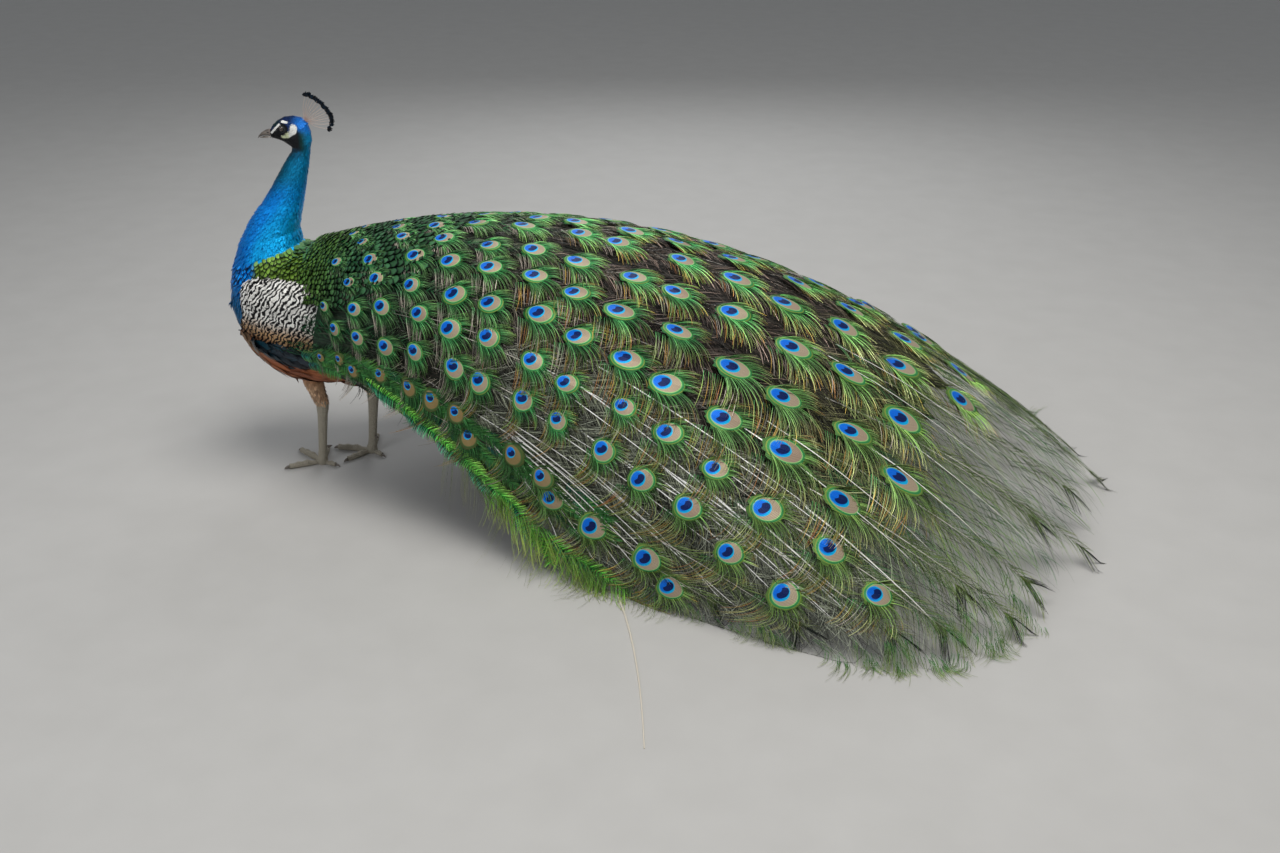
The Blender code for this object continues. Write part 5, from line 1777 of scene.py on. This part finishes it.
def edge_wisps(side, places, each, reach, bearings, green, end_colour, thick=1.0):
    """Bunches of thin loose barbs that hang from the edge and end on the floor or just above it.
    `places` are the shares and the leans of the bunches."""
    bunches, steps = len(places[0]), 9
    count = bunches * each

    def each_bunch(low, high):
        """One random number for all barbs of a bunch."""
        return np.repeat(uniform(low, high, bunches), each)

    share = np.repeat(places[0], each) + uniform(-0.012, 0.012, count)
    lean = side * (np.repeat(places[1], each) + uniform(-0.01, 0.01, count))
    start, _ = on_train(share, lean, down=0.03 * between(share, 0.3, 0.6) * (share < 0.93), lift=0.003)
    bearing = each_bunch(*bearings) + uniform(-0.2, 0.2, count)
    away = np.stack([-np.sin(bearing), side * np.cos(bearing), np.zeros(count)], -1)
    length = each_bunch(*reach) * uniform(0.6, 1.1, count)
    throw = each_bunch(0.25, 0.75) + uniform(-0.15, 0.15, count)
    t = np.linspace(0, 1, steps)[None, :]
    out, drop = length * throw, length * np.sqrt(1 - throw ** 2)
    curl = each_bunch(-0.5, 0.5)[:, None] * length[:, None] * t ** 2
    turned = np.stack([-away[:, 1], away[:, 0], np.zeros(count)], -1)
    path = (start[:, None] + away[:, None] * (out[:, None] * t ** 0.8)[..., None]
            + turned[:, None] * curl[..., None])
    path[..., 2] = np.maximum(path[..., 2] - drop[:, None] * t ** 1.3, FLOOR_CLEARANCE + 0.0015)
    flat = unit(np.cross(unit(np.gradient(path, axis=1)), [0.3, 0.2, 1.0]))
    half = thick * uniform(0.0003, 0.0005, (count, 1)) * (1 - 0.5 * t)
    colour = blend(t, (0.0, EDGE_GREEN), (0.35, green), (1.0, end_colour))
    return path, half, flat, shade(colour, 0.5, 1.3, count=count), train_patch(share, lean)


def ribs(share, lean, lift, half, colour, spot):
    """Bare shafts through rows of places on the sheet."""
    path, normal = on_train(share, lean, lift=lift)
    return path, half, crosswise(path, normal), colour, spot


FORKS = 10                         # on each side


def fork_feathers(side):
    """The longest feathers: a long pale shaft with thin barbs, and a dark fork at the end whose
    two prongs spring from a spot of yellow-green."""
    leans = side * np.linspace(0.04, 0.9, FORKS) + uniform(-0.05, 0.05, FORKS)
    ends = 0.975 + uniform(-0.055, 0.025, FORKS) - 0.05 * np.abs(leans) ** 4
    slant = side * 0.3                # how much lean a shaft gives up along the train's whole length

    def places(leans, ends, behind):
        """Share and lean of what lies some metres behind the ends of the feathers."""
        lean = leans + slant * behind / SHARE_LENGTH
        return ends - behind / SHARE_LENGTH, lean.clip(-0.98, 0.98)

    def along_shaft(each, spacing, jitter):
        number = np.tile(np.arange(each), FORKS)
        behind = (number // 2) * spacing + uniform(0, jitter, len(number))
        return hands(number), behind, *places(np.repeat(leans, each), np.repeat(ends, each), behind)

    hand, behind, share, lean = along_shaft(170, 0.0042, 0.003)
    count = len(share)
    heading = hand * np.radians(uniform(18, 34, count)) - 0.1
    bend = np.radians(uniform(-8, 25, count))
    length = 0.07 * uniform(0.75, 1.2, count) * between(behind, -0.05, 0.04)
    lift = 0.0015 + uniform(-0.001, 0.002, count)
    width = uniform(0.00035, 0.0006, count)
    walk = walk_barbs(share, lean, heading, bend, length, lift, width)
    colour = blend(ALONG_BARB, (0.0, (0.12, 0.17, 0.06)), (0.5, (0.2, 0.3, 0.09)), (1.0, STRAW))
    thin = (*walk, shade(colour, 0.3, 1.3, count=count), train_patch(share, lean))

    each = 44
    hand, behind, share, lean = along_shaft(each, 0.0008, 0.0004)
    count = len(share)
    prong = chance.random(count) < 0.72
    spread = np.repeat(uniform(14, 34, FORKS), each)
    swing = np.repeat(uniform(-0.1, 0.5, FORKS), each)
    angle = np.where(prong, spread + uniform(-2, 2, count), 48)
    length = np.where(prong, uniform(0.055, 0.075, count), uniform(0.012, 0.02, count))
    bend = -hand * np.radians(np.where(prong, 10, 0))
    width = uniform(0.0004, 0.0007, count)
    walk = walk_barbs(share, lean, hand * np.radians(angle) + swing, bend, length, 0.002, width,
                      swell=0.001)
    dark = blend(ALONG_BARB, (0.0, (0.11, 0.16, 0.03)), (0.2, (0.016, 0.026, 0.014)),
                 (0.8, (0.006, 0.009, 0.01)), (1.0, (0.03, 0.03, 0.016)))
    spot = blend(ALONG_BARB, (0.0, YELLOW_GREEN), (1.0, TRAIN_GREEN))
    colour = np.where(prong[:, None, None], dark, spot)
    fork = (*walk, shade(colour, 0.6, 1.2), train_patch(share, lean))

    behind = np.linspace(0.46, 0.0, 24)[None, :]
    share, lean = places(leans[:, None], ends[:, None], behind)
    pale = blend(behind, (0.0, (0.26, 0.26, 0.17)), (0.1, (0.6, 0.57, 0.5)), (0.5, (0.74, 0.72, 0.66)))
    shafts = ribs(share, lean, 0.0045 - 0.016 * between(behind, 0.22, 0.42),
                  0.0005 + 0.0009 * between(behind, 0.0, 0.4), pale, train_patch(ends, leans))
    return [thin, fork, shafts]


def low_fan(side):
    """The lowest feathers, seen below their neighbours' eyes: bare white shafts that spread like the
    ribs of a fan, each with a comb of fine grey-green barbs on both sides."""
    count, near_rim, steps, each = 24, 7, 22, 180
    rank = (np.arange(count) + uniform(-0.3, 0.3, count)) / count
    lowest = 0.56 + 0.38 * rank.clip(0.0) ** 0.8
    first = np.stack([0.34 + 0.3 * chance.random(count), lowest], -1)
    last = first + np.stack([uniform(0.2, 0.44, count), uniform(-0.02, 0.07, count)], -1)
    last = np.minimum(last, [0.93, 0.985])
    bow = np.stack([np.zeros(count), uniform(-0.04, 0.06, count)], -1)
    rank = np.linspace(0, 1, near_rim)                 # bold ones that fan out towards the rim
    first = np.concatenate([first, np.stack([0.4 + 0.02 * rank, 0.865 + 0.055 * rank], -1)])
    last = np.concatenate([last, np.stack([0.8 + 0.12 * np.sin(2.4 * rank), 0.9 + 0.09 * rank], -1)])
    bow = np.concatenate([bow, np.zeros((near_rim, 2))])
    bold = np.repeat([0.0, 1.0], [count, near_rim])[:, None]
    count += near_rim

    def along_rib(rib, t):
        """Share and lean at `t` along a rib, which bows a little to one side."""
        places = first[rib] + (last - first)[rib] * t[..., None] + bow[rib] * (t * (1 - t))[..., None]
        return places[..., 0], side * places[..., 1]

    t = np.linspace(0, 1, steps)[None, :]
    share, lean = along_rib(np.arange(count)[:, None], t + np.zeros((count, 1)))
    lift = -0.005 + (0.0075 + 0.0015 * bold) * between(t, 0.0, 0.25) * between(1.0 - t, 0.0, 0.1)
    half = (uniform(0.0008, 0.0015, (count, 1)) + 0.0004 * bold) * (1 - 0.5 * t)
    shafts = ribs(share, lean, lift, half, (0.92, 0.91, 0.87),
                  train_patch(first[:, 0], side * first[:, 1]))

    number = np.tile(np.arange(each), count)
    total = len(number)
    hand = hands(number)
    place = (number + chance.random(total)) / each
    share, lean = along_rib(np.repeat(np.arange(count), each), place)
    heading = hand * np.radians(uniform(30, 36, total)) + 0.05
    bend = -hand * np.radians(uniform(-4, 16, total))
    length = 0.046 * uniform(0.85, 1.1, total) * (1 - 0.3 * place)
    lift = 0.0005 + uniform(-0.0015, 0.0015, total)
    width = uniform(0.0004, 0.0006, total)
    walk = walk_barbs(share, lean, heading, bend, length, lift, width, swell=0.002)
    colour = mixed((0.2, 0.22, 0.14), GREY_GREEN, ALONG_BARB)
    colour = bunched(colour, number, 0.75, 0.17, 1.5, 0.12, 1.5)
    return [shafts, (*walk, shade(colour, 0.5, 1.4), train_patch(share, lean))]


def rear_fan(side):
    """Past the last eyes: long bare shafts that run out to the tips, with thin green barbs."""
    count, steps, each = 9, 16, 130
    rank = (np.arange(count) + uniform(-0.3, 0.3, count)) / count
    start = np.stack([uniform(0.62, 0.76, count), 0.03 + 0.72 * rank], -1)
    stop = np.stack([uniform(0.9, 0.985, count) - 0.03 * rank, 0.03 + 0.74 * rank], -1)
    t = np.linspace(0, 1, steps)[None, :]
    share, lean = np.moveaxis(start[:, None] + (stop - start)[:, None] * t[..., None], -1, 0)
    lift = 0.0005 + 0.006 * between(t, 0.0, 0.3) * between(1.0 - t, 0.0, 0.3)
    pale = blend(t, (0.0, (0.9, 0.88, 0.82)), (0.85, (0.86, 0.85, 0.78)), (1.0, (0.3, 0.34, 0.22)))
    shafts = ribs(share, side * lean, lift, uniform(0.0011, 0.0017, (count, 1)) * (1 - 0.6 * t),
                  pale, train_patch(start[:, 0], side * start[:, 1]))
    number = np.tile(np.arange(each), count)
    rib = np.repeat(np.arange(count), each)
    total = len(rib)
    share, lean = (start[rib] + (stop - start)[rib] * (number / each)[:, None]).T
    lean = side * lean
    heading = hands(number) * np.radians(uniform(22, 36, total)) + 0.06
    bend = 0.4 * chance.random(total)
    length = uniform(0.04, 0.065, total)
    width = uniform(0.0003, 0.0005, total)
    walk = walk_barbs(share, lean, heading, bend, length, 0.001, width, swell=0.003)
    colour = mixed((0.02, 0.1, 0.035), (0.13, 0.3, 0.1), ALONG_BARB)
    return [shafts, (*walk, shade(colour, 0.3, 1.8, count=total), train_patch(share, lean))]


for word, side in SIDES:
    barb_piece(f"train_edge_{word}", [
        edge_barbs(side), sabre_feathers(side),
        edge_wisps(side, (uniform(0.45, 0.97, 18), np.full(18, EDGE_LEAN)), 7, (0.06, 0.16),
                   (-0.5, 1.2), (0.14, 0.2, 0.05), (0.26, 0.27, 0.1)),
        edge_wisps(side, (uniform(0.8, 0.97, 16), np.full(16, EDGE_LEAN)), 13, (0.03, 0.065),
                   (-0.3, 1.0), (0.16, 0.34, 0.06), (0.3, 0.36, 0.11)),
        edge_wisps(side, (uniform(0.94, 1.0, 60), uniform(0.35, 0.97, 60)), 13,
                   (0.03, 0.075), (0.1, 1.2), (0.14, 0.26, 0.06), (0.32, 0.36, 0.13)),
        edge_wisps(side, (uniform(0.62, 0.97, 16), np.full(16, 0.975)), 16, (0.05, 0.095),
                   (-0.3, 0.9), (0.16, 0.44, 0.05), (0.46, 0.52, 0.12), thick=1.7)])
    barb_piece(f"train_forks_{word}", fork_feathers(side) + low_fan(side) + rear_fan(side))

# %% [markdown]
# ## The studio
# A plain pale floor and soft light from a large lamp overhead, with a weaker one from the side of
# the camera, so that the colours read and the feathers still cast small shadows.

# %% Floor and lights
floor_finish = Finish("studio_floor", Roughness=0.8)
floor_grain = floor_finish.noise(9.0, detail=4.0)
floor_finish.paint(Base_Color=floor_finish.mix(floor_grain, (0.5, 0.49, 0.47), (0.56, 0.55, 0.53)))
bpy.ops.mesh.primitive_plane_add(size=30, location=(0, 0, 0))
floor = bpy.context.object
floor.name = "studio_floor"
floor.data.materials.append(floor_finish.material)


def soft_lamp(name, place, size, power, colour):
    """A square lamp that faces the bird."""
    lamp = bpy.data.lights.new(name, "AREA")
    lamp.energy, lamp.size, lamp.color = power, size, colour
    made = bpy.data.objects.new(name, lamp)
    made.location = place
    made.rotation_euler = (Vector((0, 0, 0.3)) - Vector(place)).to_track_quat("-Z", "Y").to_euler()
    bpy.context.collection.objects.link(made)
    return made


soft_lamp("lamp_overhead", (-0.4, 0.6, 3.6), 2.2, 92, (1.0, 0.98, 0.95))
soft_lamp("lamp_camera_side", (1.8, 3.2, 2.2), 1.6, 24, (0.93, 0.96, 1.0))
soft_lamp("lamp_behind", (0.6, -3.2, 2.4), 2.0, 30, (0.96, 0.98, 1.0))
world = bpy.data.worlds.new("studio")
world.use_nodes = True
world.node_tree.nodes["Background"].inputs["Color"].default_value = (0.86, 0.9, 0.95, 1.0)
world.node_tree.nodes["Background"].inputs["Strength"].default_value = 0.27
bpy.context.scene.world = world
bpy.context.scene.view_settings.view_transform = "Standard"
print("three lamps and a plain floor")
